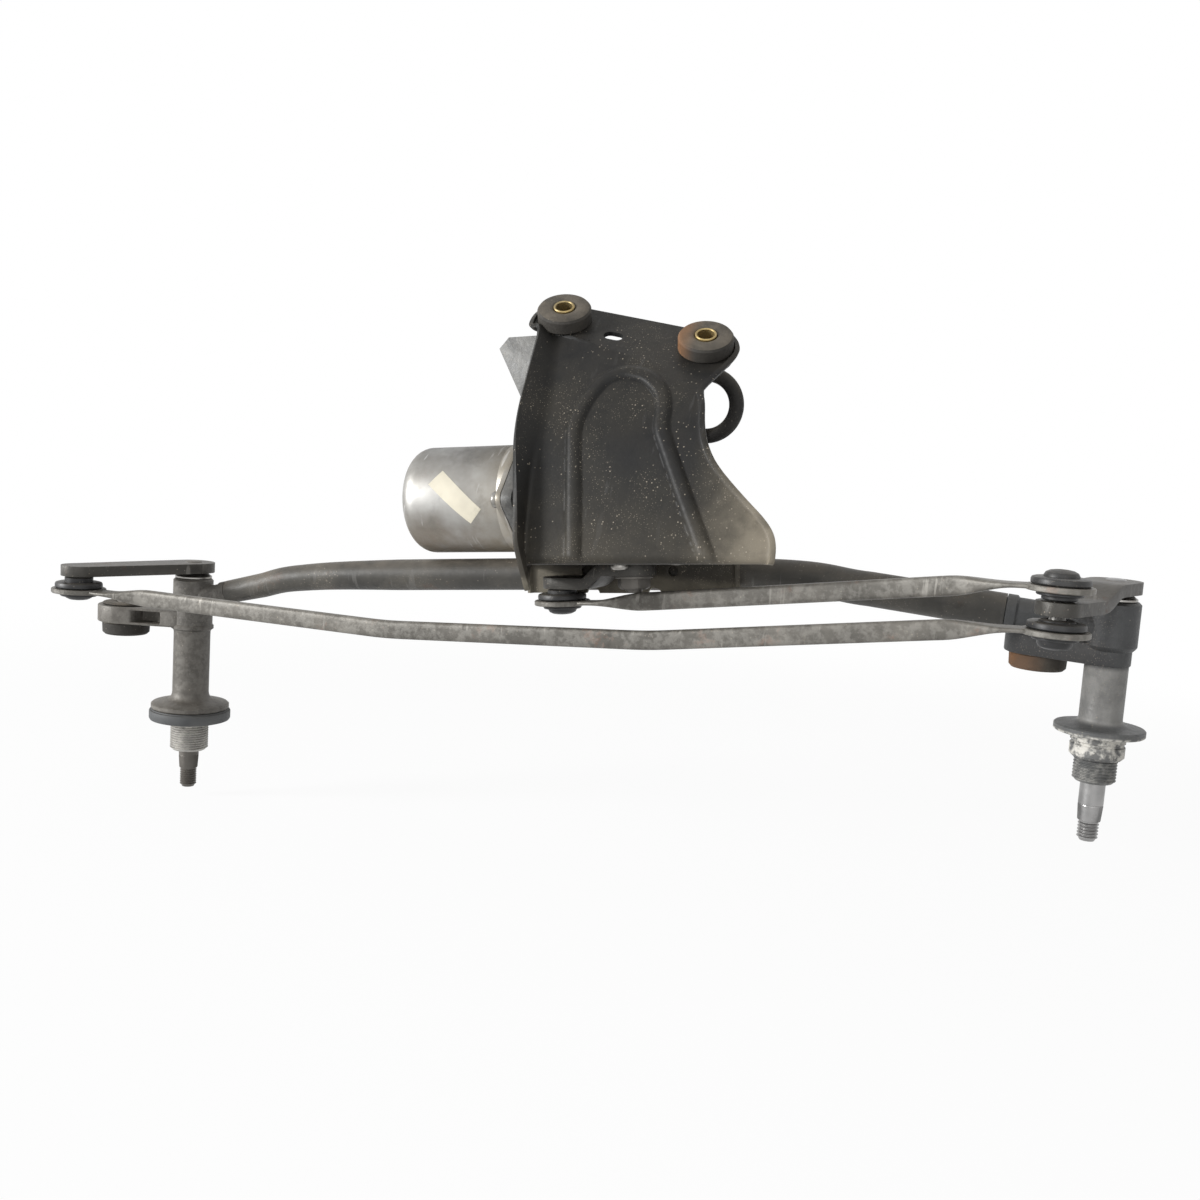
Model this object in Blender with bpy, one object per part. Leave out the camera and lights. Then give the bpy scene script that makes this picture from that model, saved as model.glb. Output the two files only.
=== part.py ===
"""Windshield wiper assembly in its parked position: tube frame, two pivots, crank motor and linkage.

Z runs along the two wiper spindles, whose free ends point down, and X runs to the right along the frame.
The tube, the bracket and the motor share a body frame that is turned about Y by BODY_TILT.
"""

import math

import bmesh
import bpy
from mathutils import Matrix, Vector

MM = 0.001
GAP = 0.3 * MM
BODY_TILT = math.radians(5.5)

# Frame tube, in the body frame
TUBE_RADIUS = 9.0 * MM
TUBE_WALL = 1.5 * MM
TUBE_CRIMP_RADIUS = 7.0 * MM
TUBE_LEFT_X = -243.0 * MM
TUBE_LEFT_DROP = 10.5 * MM
TUBE_LEFT_KNEE_X = -193.0 * MM
TUBE_LEFT_KNEE_DROP = 2.0 * MM
TUBE_LEFT_BEND_X = -125.0 * MM
TUBE_RIGHT_BEND_X = 102.0 * MM
TUBE_RIGHT_X = 213.0 * MM
TUBE_RIGHT_DROP = 18.0 * MM
SPIGOT_REACH = 16.0 * MM

# Spindles and levers
LEFT_SPINDLE_X = -267.5 * MM
RIGHT_SPINDLE_X = 263.5 * MM
SPINDLE_RADIUS = 6.0 * MM
SPINDLE_HEAD_RADIUS = 5.0 * MM
SPINDLE_THREAD_RADIUS = 5.0 * MM
KNURL_LENGTH = 8.0 * MM
BEARING_WALL = 2.0 * MM
BEARING_LENGTH = 14.0 * MM
LEVER_THICKNESS = 6.0 * MM
LEVER_HUB_RADIUS = 12.5 * MM
LEVER_END_RADIUS = 10.0 * MM
LEVER_HEADROOM = 4.0 * MM
WASHER_RADIUS = 11.0 * MM
LEFT_LEVER_TOP = -17.7 * MM
LEFT_BALL_X = -296.0 * MM
LEFT_BALL_Y = -68.0 * MM
RIGHT_LEVER_TOP = 23.0 * MM
RIGHT_LEVER_JOGGLE = 6.5 * MM
RIGHT_BALL_X = 238.0 * MM
RIGHT_BALL_Y = -70.0 * MM

# Left pivot housing, lengths from its top down
LEFT_BOSS_RADIUS = 12.0 * MM
LEFT_BOSS_LENGTH = 31.5 * MM
LEFT_SLEEVE_RADIUS = 11.0 * MM
LEFT_SLEEVE_LENGTH = 43.0 * MM
LEFT_DISC_RADIUS = 23.5 * MM
LEFT_DISC_THICKNESS = 7.5 * MM
LEFT_THREAD_RADIUS = 11.5 * MM
LEFT_THREAD_LENGTH = 26.5 * MM
LEFT_SHAFT_LENGTH = 12.0 * MM
LEFT_SCREW_LENGTH = 12.0 * MM
LEFT_EAR_X = -311.0 * MM
LEFT_EAR_Y = -8.0 * MM
LEFT_EAR_DROP = 20.0 * MM
SEAL_RADIUS = 24.5 * MM
SEAL_THICKNESS = 7.0 * MM

# Right pivot housing, lengths from its top down
RIGHT_BOSS_RADIUS = 13.0 * MM
RIGHT_BOSS_LENGTH = 23.0 * MM
RIGHT_SLEEVE_RADIUS = 10.3 * MM
RIGHT_SLEEVE_LENGTH = 39.0 * MM
RIGHT_DISC_RADIUS = 21.5 * MM
RIGHT_DISC_THICKNESS = 3.5 * MM
RIGHT_COLLAR_RADIUS = 13.0 * MM
RIGHT_COLLAR_LENGTH = 12.5 * MM
RIGHT_THREAD_RADIUS = 10.3 * MM
RIGHT_THREAD_LENGTH = 12.0 * MM
RIGHT_SHAFT_LENGTH = 20.0 * MM
RIGHT_SCREW_LENGTH = 10.0 * MM
RIGHT_EAR_X = 231.5 * MM
RIGHT_EAR_Y = 16.0 * MM
RIGHT_EAR_DROP = 21.0 * MM

# Mounting bushes: a rubber spool in a plate, with a steel sleeve
BUSH_RADIUS = 14.3 * MM
BUSH_WAIST_RADIUS = 9.5 * MM
BUSH_SLEEVE_RADIUS = 5.6 * MM
BUSH_BORE_RADIUS = 4.4 * MM
BUSH_FRONT = 8.0 * MM
BUSH_BACK = 5.0 * MM
EAR_THICKNESS = 10.5 * MM
EAR_RADIUS = 17.0 * MM

# Ball joints, lengths from the socket's mouth
BALL_RADIUS = 6.0 * MM
BALL_NECK_RADIUS = 3.6 * MM
SOCKET_MOUTH_RADIUS = 4.3 * MM
SOCKET_NECK_RADIUS = 7.8 * MM
SOCKET_GROOVE_RADIUS = 8.8 * MM
SOCKET_LIP_RADIUS = 10.2 * MM
SOCKET_LIP_LENGTH = 1.6 * MM
SOCKET_SKIRT_RADIUS = 13.0 * MM
SOCKET_SKIRT_LENGTH = 3.4 * MM
SOCKET_END_WALL = 2.6 * MM

# Links: flattened tubes with ring ends
LINK_HEIGHT = 9.5 * MM
LINK_WIDTH = 6.0 * MM
LINK_PLATE = 2.6 * MM
LINK_NECK_WIDTH = 15.0 * MM
LINK_RING_RADIUS = 15.0 * MM
LINK_TAPER = 30.0 * MM
LONG_LINK_KNEE_X = -95.0 * MM
LONG_LINK_KNEE_Z = -33.0 * MM
LONG_LINK_DIP_X = 50.0 * MM
LONG_LINK_DIP_Z = -22.5 * MM

# Motor bracket, a pressed sheet, in the body frame
SHEET = 2.5 * MM
BASE_Z = 12.0 * MM
BASE_FRONT_Y = -81.0 * MM
SKIRT_BOTTOM = -9.0 * MM
PLATE_LEAN = 0.34
PLATE_FLANGE_DEPTH = 11.0 * MM
PLATE_LIP_DEPTH = 5.0 * MM
TOP_CENTRE_X = 28.0 * MM
TOP_CENTRE_Y = -19.0 * MM
TOP_CENTRE_Z = 126.5 * MM
TOP_SLOPE = math.radians(13.9)
TOP_RISE = math.radians(38.0)
TOP_BUSH_SPACING = 79.0 * MM
TOP_REAR = 15.0 * MM
TOP_FRONT = 16.0 * MM
TOP_LIP = 3.0 * MM
SKIRT_LEFT_X = -36.0 * MM
SKIRT_RIGHT_X = 78.0 * MM
BASE_LEFT_X = -14.0 * MM
BASE_RIGHT_X = 112.0 * MM
BASE_LIP = 3.0 * MM
WAIST_LEFT_X = -22.0 * MM
WAIST_RIGHT_X = 75.5 * MM
RIB_WIDTH = 4.5 * MM
RIB_HEIGHT = 2.2 * MM
RIB_LEFT_X = 11.0 * MM
RIB_RIGHT_X = 70.0 * MM
RIB_TOP_Z = 96.0 * MM

# Motor and crank, in the body frame
OUTPUT_X = 29.5 * MM
WORM_Y = 0.0 * MM
WORM_Z = 43.0 * MM
WORM_RADIUS = 5.8 * MM
WORM_PITCH = 5.0 * MM
MESH_CLEARANCE = 0.7 * MM
WHEEL_RADIUS = 26.5 * MM
OUTPUT_Y = WORM_Y - WORM_RADIUS - MESH_CLEARANCE - WHEEL_RADIUS
WHEEL_TEETH = 57
WHEEL_THICKNESS = 11.0 * MM
CASE_WALL = 3.2 * MM
CASE_LEFT_X = -41.0 * MM
CASE_INSET = 5.0 * MM
CASE_FRONT_Y = -20.0 * MM
CASE_RIGHT_X = 66.0 * MM
CASE_TOP_Z = 66.0 * MM
CASE_REAR_Y = 20.0 * MM
DRUM_TOP_Z = 52.0 * MM
TOWER_FRONT_Y = 4.0 * MM
TOWER_TOP_Z = 133.0 * MM
TOWER_RIGHT_X = 54.0 * MM
TOWER_CORNER_X = -59.0 * MM
TOWER_FOOT = 8.0 * MM
COVER_THICKNESS = 4.0 * MM
CAN_RADIUS = 30.0 * MM
CAN_WALL = 1.6 * MM
CAN_LENGTH = 69.0 * MM
CAN_ROUND = 11.0 * MM
CAN_EAR_RADIUS = 6.0 * MM
CAN_EAR_REACH = CAN_RADIUS + CAN_EAR_RADIUS
CAN_FLANGE = 3.0 * MM
CAN_BOSS_LENGTH = 7.0 * MM
MAGNET_THICKNESS = 6.0 * MM
AIR_GAP = 2.4 * MM
ARMATURE_RADIUS = CAN_RADIUS - CAN_WALL - MAGNET_THICKNESS - AIR_GAP
ARMATURE_LENGTH = 30.0 * MM
COMMUTATOR_RADIUS = 10.0 * MM
COMMUTATOR_LENGTH = 11.0 * MM
BRUSH_LENGTH = 8.7 * MM
BRUSH_WIDTH = 6.0 * MM
BRUSH_HEIGHT = 5.0 * MM
BRUSH_PLATE_Z = 6.0 * MM
BRUSH_PLATE = 3.0 * MM
BOARD_THICKNESS = 1.6 * MM
SHAFT_RADIUS = 4.0 * MM
WORM_LENGTH = 62.0 * MM
TOOTH_DEPTH = 1.6 * MM
OUTPUT_RADIUS = 6.0 * MM
CRANK_RADIUS = 44.0 * MM
CRANK_THICKNESS = 6.0 * MM
CRANK_HUB_TOP = 8.5 * MM
CRANK_JOGGLE = 7.5 * MM
CRANK_HUB_RADIUS = 12.0 * MM
CRANK_END_RADIUS = 10.0 * MM
NUT_RADIUS = 9.0 * MM
NUT_HEIGHT = 7.0 * MM
SCREW_RADIUS = 2.5 * MM
SCREW_HEAD_RADIUS = 4.5 * MM
SCREW_HEAD_HEIGHT = 3.5 * MM
SCREW_LENGTH = 10.0 * MM
MOTOR_SCREW_CIRCLE = 23.5 * MM
LEAD_RADIUS = 4.0 * MM
LEAD_LOOP_RADIUS = 16.5 * MM
LEAD_Z = 91.0 * MM

ROUND_SIDES = 18
SMALL_SIDES = 12
LARGE_SIDES = 32

for left_over in list(bpy.data.objects):
    bpy.data.objects.remove(left_over, do_unlink=True)


def finish(name, colour, roughness, metallic):
    """A plain material in the part's own colour."""
    made = bpy.data.materials.new(name)
    made.use_nodes = True
    shader = made.node_tree.nodes["Principled BSDF"]
    shader.inputs["Base Color"].default_value = (*colour, 1.0)
    shader.inputs["Roughness"].default_value = roughness
    shader.inputs["Metallic"].default_value = metallic
    return made


BLACK_SHEET = finish("black_sheet", (0.045, 0.043, 0.04), 0.5, 0.2)
DUSTY_TUBE = finish("dusty_tube", (0.09, 0.088, 0.08), 0.6, 0.4)
CAST_ALLOY = finish("cast_alloy", (0.16, 0.155, 0.145), 0.6, 0.7)
CASE_ALLOY = finish("case_alloy", (0.45, 0.45, 0.44), 0.5, 0.8)
BARE_STEEL = finish("bare_steel", (0.5, 0.49, 0.47), 0.35, 1.0)
LINK_STEEL = finish("link_steel", (0.2, 0.19, 0.17), 0.55, 0.6)
ZINC = finish("yellow_zinc", (0.5, 0.42, 0.25), 0.4, 0.9)
RUBBER = finish("rubber", (0.03, 0.03, 0.03), 0.8, 0.0)
PLASTIC = finish("black_plastic", (0.03, 0.03, 0.032), 0.5, 0.0)
CAN_STEEL = finish("can_steel", (0.55, 0.55, 0.54), 0.35, 0.9)
BRONZE = finish("bronze", (0.45, 0.3, 0.15), 0.5, 0.9)
MAGNET = finish("magnet", (0.05, 0.05, 0.055), 0.6, 0.1)
COPPER = finish("copper", (0.6, 0.3, 0.16), 0.35, 1.0)
BOARD = finish("board", (0.03, 0.16, 0.07), 0.5, 0.0)
GEAR_PLASTIC = finish("gear_plastic", (0.75, 0.73, 0.66), 0.5, 0.0)


def empty(name, parent=None, matrix=Matrix.Identity(4)):
    made = bpy.data.objects.new(name, None)
    bpy.context.collection.objects.link(made)
    made.parent = parent
    made.matrix_local = matrix
    return made


def add(name, shape, material, parent=None, place=Matrix.Identity(4)):
    """Turns a closed bmesh into a named object."""
    bmesh.ops.recalc_face_normals(shape, faces=shape.faces)
    mesh = bpy.data.meshes.new(name)
    shape.to_mesh(mesh)
    shape.free()
    mesh.shade_smooth()
    mesh.set_sharp_from_angle(angle=math.radians(35))
    mesh.materials.append(material)
    made = bpy.data.objects.new(name, mesh)
    bpy.context.collection.objects.link(made)
    made.parent = parent
    made.matrix_local = place
    return made


def combine(target, operation, shape, parent=None, place=Matrix.Identity(4), solver="EXACT"):
    """Joins a shape to the target or cuts it out, as a live modifier with a hidden helper."""
    helper = add(f"{target.name}_tool", shape, target.data.materials[0], parent, place)
    helper.hide_render = True
    helper.display_type = "WIRE"
    modifier = target.modifiers.new(operation.title(), "BOOLEAN")
    modifier.operation = operation
    modifier.solver = solver
    modifier.object = helper


def circle(radius, sides=ROUND_SIDES, x=0.0, y=0.0):
    """Points round a circle, counter-clockwise."""
    turn = 2 * math.pi / sides
    return [(x + radius * math.cos(turn * i), y + radius * math.sin(turn * i)) for i in range(sides)]


def hull(points):
    """Convex outline round the points, counter-clockwise."""
    points = sorted(set(points))

    def chain(run):
        kept = []
        for p in run:
            while len(kept) > 1:
                (ax, ay), (bx, by) = kept[-2:]
                if (bx - ax) * (p[1] - ay) - (by - ay) * (p[0] - ax) > 1e-12:
                    break
                kept.pop()
            kept.append(p)
        return kept[:-1]

    return chain(points) + chain(reversed(points))


def prism(outline, low, high):
    """Outline in X and Y, extruded from one height to another."""
    shape = bmesh.new()
    base = shape.faces.new([shape.verts.new((x, y, low)) for x, y in outline])
    raised = bmesh.ops.extrude_face_region(shape, geom=[base])
    up = [item for item in raised["geom"] if isinstance(item, bmesh.types.BMVert)]
    bmesh.ops.translate(shape, verts=up, vec=(0, 0, high - low))
    return shape


def rings_joined(shape, rings, closed):
    """Faces between neighbouring rings of points; a ring of one point is a pole."""
    pairs = list(zip(rings, rings[1:]))
    if closed:
        pairs.append((rings[-1], rings[0]))
    for a, b in pairs:
        sides = max(len(a), len(b))
        for i in range(sides):
            j = (i + 1) % sides
            if len(a) == 1:
                shape.faces.new([a[0], b[j], b[i]])
            elif len(b) == 1:
                shape.faces.new([a[i], a[j], b[0]])
            else:
                shape.faces.new([a[i], a[j], b[j], b[i]])


def lathe(profile, sides=ROUND_SIDES):
    """Profile of (radius, height) turned about Z: open at two poles, or a closed ring."""
    shape = bmesh.new()
    rings = []
    for radius, height in profile:
        outline = circle(radius, sides) if radius > 0 else [(0, 0)]
        rings.append([shape.verts.new((x, y, height)) for x, y in outline])
    rings_joined(shape, rings, closed=profile[0][0] > 0)
    return shape


def frames(path):
    """Side and up directions at each point of a path, with up near +Z."""
    found = []
    for i in range(len(path)):
        along = (path[min(i + 1, len(path) - 1)] - path[max(i - 1, 0)]).normalized()
        reference = Vector((0, 0, 1)) if abs(along.z) < 0.9 else Vector((0, 1, 0))
        side = along.cross(reference).normalized()
        found.append((side, side.cross(along)))
    return found


def sweep(path, sections, bores=None):
    """Sections of (side, up) points carried along a path, with flat ends, or a bore right through."""
    shape = bmesh.new()

    def skin(outlines):
        return [
            [shape.verts.new(point + side * a + up * b) for a, b in outline]
            for point, (side, up), outline in zip(path, frames(path), outlines)
        ]

    outer = skin(sections)
    if bores:
        rings_joined(shape, outer + skin(bores)[::-1], closed=True)
    else:
        rings_joined(shape, outer, closed=False)
        shape.faces.new(outer[0])
        shape.faces.new(outer[-1])
    return shape


def smooth(points, steps=6):
    """Catmull-Rom curve through the points."""
    ends = [points[0] * 2 - points[1], *points, points[-1] * 2 - points[-2]]
    curve = []
    for a, b, c, d in zip(ends, ends[1:], ends[2:], ends[3:]):
        for i in range(steps):
            t = i / steps
            bend = (a * 2 - b * 5 + c * 4 - d) * t**2 + (b * 3 - a - c * 3 + d) * t**3
            curve.append((b * 2 + (c - a) * t + bend) / 2)
    return curve + [points[-1]]


def round_bar(width, height, corner_sides=3):
    """Section with round corners as large as fit."""
    radius = min(width, height) / 2 * 0.9
    points = []
    for quarter in range(4):
        middle = math.pi / 2 * quarter
        cx = (width / 2 - radius) * (1 if quarter in (0, 3) else -1)
        cy = (height / 2 - radius) * (1 if quarter in (0, 1) else -1)
        for i in range(corner_sides + 1):
            angle = middle + math.pi / 2 * i / corner_sides
            points.append((cx + radius * math.cos(angle), cy + radius * math.sin(angle)))
    return points


def move(x=0.0, y=0.0, z=0.0):
    return Matrix.Translation((x, y, z))


def rod(start, end, radius, sides=SMALL_SIDES):
    """Cylinder between two points."""
    return sweep([start, end], [circle(radius, sides)] * 2)


BODY = empty("body_frame", matrix=Matrix.Rotation(-BODY_TILT, 4, "Y"))


def body_to_world(x, y, z):
    return Matrix.Rotation(-BODY_TILT, 4, "Y") @ Vector((x, y, z))


def tube_route():
    return [
        Vector((TUBE_LEFT_X, 0, -TUBE_LEFT_DROP)),
        Vector((TUBE_LEFT_KNEE_X, 0, -TUBE_LEFT_KNEE_DROP)),
        Vector((TUBE_LEFT_BEND_X, 0, 0)),
        Vector((TUBE_RIGHT_BEND_X, 0, 0)),
        Vector((TUBE_RIGHT_X, 0, -TUBE_RIGHT_DROP)),
    ]


def frame_tube():
    """Steel tube from spigot to spigot, crimped slimmer at its left end."""
    route = tube_route()
    straight_left = (route[1] - route[0]) * 0.45 + route[0]
    straight_right = (route[3] - route[4]) * 0.6 + route[4]
    before_right = route[3] + (route[2] - route[3]) * 0.08
    path = [route[0], *smooth([straight_left, route[1], route[2], before_right, straight_right], 5), route[4]]
    radii = []
    for point in path:
        share = min(1.0, (point.x - TUBE_LEFT_X) / (TUBE_LEFT_BEND_X - TUBE_LEFT_X))
        radii.append(TUBE_CRIMP_RADIUS + (TUBE_RADIUS - TUBE_CRIMP_RADIUS) * share)
    outer = [circle(radius, SMALL_SIDES) for radius in radii]
    bores = [circle(radius - TUBE_WALL, SMALL_SIDES) for radius in radii]
    add("frame_tube", sweep(path, outer, bores), DUSTY_TUBE, BODY)


def spigot(end, inward, spindle_x, bore):
    """Root on the spindle's axis, tip inside the tube and radius of a casting's spigot."""
    along = (inward - end).normalized()
    root = end + along * ((spindle_x - end.x) / along.x)
    return root, end + along * SPIGOT_REACH, bore - GAP


def ear_outline(spindle_x, ear_x, ear_y, root_radius):
    return hull(circle(root_radius, ROUND_SIDES, spindle_x) + circle(EAR_RADIUS, ROUND_SIDES, ear_x, ear_y))


def bush_and_sleeve(name, thickness, front, back, parent, place):
    """Rubber spool in a plate that is centred on the origin, with its steel sleeve."""
    seat = thickness / 2 + GAP
    bore = BUSH_SLEEVE_RADIUS + GAP
    rubber = [
        (bore, seat + front),
        (BUSH_RADIUS - 1.5 * MM, seat + front),
        (BUSH_RADIUS, seat + front - 1.5 * MM),
        (BUSH_RADIUS, seat),
        (BUSH_WAIST_RADIUS, seat),
        (BUSH_WAIST_RADIUS, -seat),
        (BUSH_RADIUS, -seat),
        (BUSH_RADIUS - 1.0 * MM, -seat - back),
        (bore, -seat - back),
    ]
    add(f"{name}_bush", lathe(rubber), RUBBER, parent, place)
    ends = (seat + front + 0.6 * MM, -seat - back - 0.6 * MM)
    steel = [(BUSH_BORE_RADIUS, ends[0]), (BUSH_SLEEVE_RADIUS, ends[0])]
    steel += [(BUSH_SLEEVE_RADIUS, ends[1]), (BUSH_BORE_RADIUS, ends[1])]
    add(f"{name}_sleeve", lathe(steel), ZINC, parent, place)


def bush_hole(target, thickness, parent, place):
    hole = prism(circle(BUSH_WAIST_RADIUS + GAP), -thickness, thickness)
    combine(target, "DIFFERENCE", hole, parent, place, solver="MANIFOLD")


def pivot(side, spindle_x, top, profile, spigot_line, ear, boss_radius):
    """Cast housing with its ear and spigot, bored for the spindle, and its bearings and ear bush."""
    bottom = profile[-1][1]
    housing = add(f"{side}_pivot_housing", lathe(profile), CAST_ALLOY, None, move(spindle_x))
    ear_x, ear_y, ear_z = ear
    outline = ear_outline(spindle_x, ear_x, ear_y, boss_radius - 2 * MM)
    combine(housing, "UNION", prism(outline, ear_z - EAR_THICKNESS / 2, ear_z + EAR_THICKNESS / 2))
    start, tip, radius = spigot_line
    combine(housing, "UNION", rod(start, tip, radius))
    bore = SPINDLE_RADIUS + GAP + BEARING_WALL + GAP
    bored = prism(circle(bore), bottom - 5 * MM, top + 5 * MM)
    combine(housing, "DIFFERENCE", bored, None, move(spindle_x))
    bush_hole(housing, EAR_THICKNESS, None, move(ear_x, ear_y, ear_z))
    bush_and_sleeve(f"{side}_ear", EAR_THICKNESS, 1.5 * MM, BUSH_FRONT, None, move(ear_x, ear_y, ear_z))
    inner, outer = SPINDLE_RADIUS + GAP, bore - GAP
    for place, high in (("upper", top), ("lower", bottom + BEARING_LENGTH)):
        low = high - BEARING_LENGTH
        ring = lathe([(inner, high), (outer, high), (outer, low), (inner, low)])
        add(f"{side}_{place}_bearing", ring, BRONZE, None, move(spindle_x))


def left_pivot():
    top = LEFT_LEVER_TOP - LEVER_THICKNESS - LEVER_HEADROOM
    step = top - LEFT_BOSS_LENGTH
    disc = step - LEFT_SLEEVE_LENGTH
    thread = disc - LEFT_DISC_THICKNESS
    end = thread - LEFT_THREAD_LENGTH
    ring = LEFT_BOSS_RADIUS + 0.8 * MM
    profile = [
        (0, top),
        (LEFT_BOSS_RADIUS - 1 * MM, top),
        (LEFT_BOSS_RADIUS, top - 1 * MM),
        (LEFT_BOSS_RADIUS, step + 2 * MM),
        (ring, step + 1.5 * MM),
        (ring, step),
        (LEFT_SLEEVE_RADIUS, step - 0.5 * MM),
        (LEFT_SLEEVE_RADIUS, disc + 5 * MM),
        (LEFT_SLEEVE_RADIUS + 3 * MM, disc + 1.5 * MM),
        (LEFT_DISC_RADIUS - 1 * MM, disc),
        (LEFT_DISC_RADIUS, disc - 1 * MM),
        (LEFT_DISC_RADIUS, thread),
        (LEFT_THREAD_RADIUS, thread),
        (LEFT_THREAD_RADIUS, end + 1 * MM),
        (LEFT_THREAD_RADIUS - 1 * MM, end),
        (0, end),
    ]
    tube_end, tube_next = (body_to_world(*tube_route()[i]) for i in (0, 1))
    line = spigot(tube_end, tube_next, LEFT_SPINDLE_X, TUBE_CRIMP_RADIUS - TUBE_WALL)
    ear = (LEFT_EAR_X, LEFT_EAR_Y, top - LEFT_EAR_DROP - EAR_THICKNESS / 2)
    pivot("left", LEFT_SPINDLE_X, top, profile, line, ear, LEFT_BOSS_RADIUS)
    seal_bore = LEFT_THREAD_RADIUS + GAP
    high, low = thread - GAP, thread - GAP - SEAL_THICKNESS
    seal = [
        (seal_bore, high),
        (SEAL_RADIUS - 1 * MM, high),
        (SEAL_RADIUS, high - SEAL_THICKNESS / 2),
        (SEAL_RADIUS - 2 * MM, low),
        (seal_bore, low),
    ]
    add("left_seal_ring", lathe(seal), RUBBER, None, move(LEFT_SPINDLE_X))
    return end


def right_pivot():
    top = RIGHT_LEVER_TOP - LEVER_THICKNESS - LEVER_HEADROOM
    step = top - RIGHT_BOSS_LENGTH
    disc = step - RIGHT_SLEEVE_LENGTH
    collar = disc - RIGHT_DISC_THICKNESS
    thread = collar - RIGHT_COLLAR_LENGTH
    end = thread - RIGHT_THREAD_LENGTH
    profile = [
        (0, top),
        (RIGHT_BOSS_RADIUS - 1 * MM, top),
        (RIGHT_BOSS_RADIUS, top - 1 * MM),
        (RIGHT_BOSS_RADIUS, step + 1 * MM),
        (RIGHT_SLEEVE_RADIUS, step - 2 * MM),
        (RIGHT_SLEEVE_RADIUS, disc + 3 * MM),
        (RIGHT_SLEEVE_RADIUS + 3 * MM, disc),
        (RIGHT_DISC_RADIUS, disc),
        (RIGHT_DISC_RADIUS, collar),
        (RIGHT_COLLAR_RADIUS, collar),
        (RIGHT_COLLAR_RADIUS, thread + 1.5 * MM),
        (RIGHT_COLLAR_RADIUS - 1.5 * MM, thread),
        (RIGHT_THREAD_RADIUS, thread),
        (RIGHT_THREAD_RADIUS, end + 1 * MM),
        (RIGHT_THREAD_RADIUS - 1 * MM, end),
        (0, end),
    ]
    tube_end, tube_next = (body_to_world(*tube_route()[i]) for i in (4, 3))
    line = spigot(tube_end, tube_next, RIGHT_SPINDLE_X, TUBE_RADIUS - TUBE_WALL)
    ear = (RIGHT_EAR_X, RIGHT_EAR_Y, top - RIGHT_EAR_DROP - EAR_THICKNESS / 2)
    pivot("right", RIGHT_SPINDLE_X, top, profile, line, ear, RIGHT_BOSS_RADIUS)
    return end


def spindle(side, x, lever_top, sleeve_end, shaft_length, screw_length):
    """Shaft with a riveted head in the lever, a knurled cone and a threaded end."""
    shoulder = lever_top - LEVER_THICKNESS - GAP
    cone = sleeve_end - shaft_length
    end = cone - screw_length
    profile = [
        (0, lever_top + 0.8 * MM),
        (SPINDLE_HEAD_RADIUS - 0.8 * MM, lever_top + 0.8 * MM),
        (SPINDLE_HEAD_RADIUS, lever_top),
        (SPINDLE_HEAD_RADIUS, shoulder),
        (SPINDLE_RADIUS, shoulder),
        (SPINDLE_RADIUS, cone + KNURL_LENGTH),
        (SPINDLE_THREAD_RADIUS + 0.4 * MM, cone),
        (SPINDLE_THREAD_RADIUS, cone),
        (SPINDLE_THREAD_RADIUS, end + 1.2 * MM),
        (SPINDLE_THREAD_RADIUS - 1.2 * MM, end),
        (0, end),
    ]
    add(f"{side}_spindle", lathe(profile), BARE_STEEL, None, move(x))
    low = lever_top - LEVER_THICKNESS - LEVER_HEADROOM + GAP
    high = low + LEVER_HEADROOM - 2 * GAP
    bore = SPINDLE_RADIUS + GAP
    washer = [
        (bore, high),
        (bore + 1.5 * MM, high),
        (WASHER_RADIUS, low + 1.2 * MM),
        (WASHER_RADIUS, low),
        (bore, low),
    ]
    add(f"{side}_spindle_washer", lathe(washer), BARE_STEEL, None, move(x))


def left_lever():
    outline = hull(
        circle(LEVER_HUB_RADIUS, ROUND_SIDES, LEFT_SPINDLE_X)
        + circle(LEVER_END_RADIUS, ROUND_SIDES, LEFT_BALL_X, LEFT_BALL_Y)
    )
    lever = add("left_lever", prism(outline, LEFT_LEVER_TOP - LEVER_THICKNESS, LEFT_LEVER_TOP), LINK_STEEL)
    hole = prism(circle(SPINDLE_HEAD_RADIUS + GAP), -LEVER_THICKNESS, LEVER_THICKNESS)
    combine(lever, "DIFFERENCE", hole, None, move(LEFT_SPINDLE_X, 0, LEFT_LEVER_TOP - LEVER_THICKNESS / 2))


def joggled_arm(name, hub, end, drop, thickness, hub_radius, end_radius, material, parent):
    """Flat arm whose far end lies lower than its hub; both points are at mid thickness of the hub."""
    along = end - hub
    width = 2 * min(hub_radius, end_radius) - 1 * MM
    low = Vector((0, 0, -drop))
    path = [hub, hub + along * 0.3, hub + along * 0.58 + low, end + low]
    thin = thickness - 0.4 * MM
    arm = add(name, sweep(path, [round_bar(width, thin)] * 4), material, parent)
    disc = prism(circle(hub_radius), -thickness / 2, thickness / 2)
    combine(arm, "UNION", disc, parent, Matrix.Translation(hub))
    tip = prism(circle(end_radius), -thickness / 2, thickness / 2)
    combine(arm, "UNION", tip, parent, Matrix.Translation(end + low))
    return arm


def right_lever():
    middle = RIGHT_LEVER_TOP - LEVER_THICKNESS / 2
    hub = Vector((RIGHT_SPINDLE_X, 0, middle))
    end = Vector((RIGHT_BALL_X, RIGHT_BALL_Y, middle))
    sizes = (RIGHT_LEVER_JOGGLE, LEVER_THICKNESS, LEVER_HUB_RADIUS, LEVER_END_RADIUS)
    lever = joggled_arm("right_lever", hub, end, *sizes, LINK_STEEL, None)
    hole = prism(circle(SPINDLE_HEAD_RADIUS + GAP), -LEVER_THICKNESS, LEVER_THICKNESS)
    combine(lever, "DIFFERENCE", hole, None, Matrix.Translation(hub))
    rivet = prism(circle(BALL_NECK_RADIUS + GAP), -LEVER_THICKNESS, LEVER_THICKNESS)
    combine(lever, "DIFFERENCE", rivet, None, move(end.x, end.y, middle - RIGHT_LEVER_JOGGLE))


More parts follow.
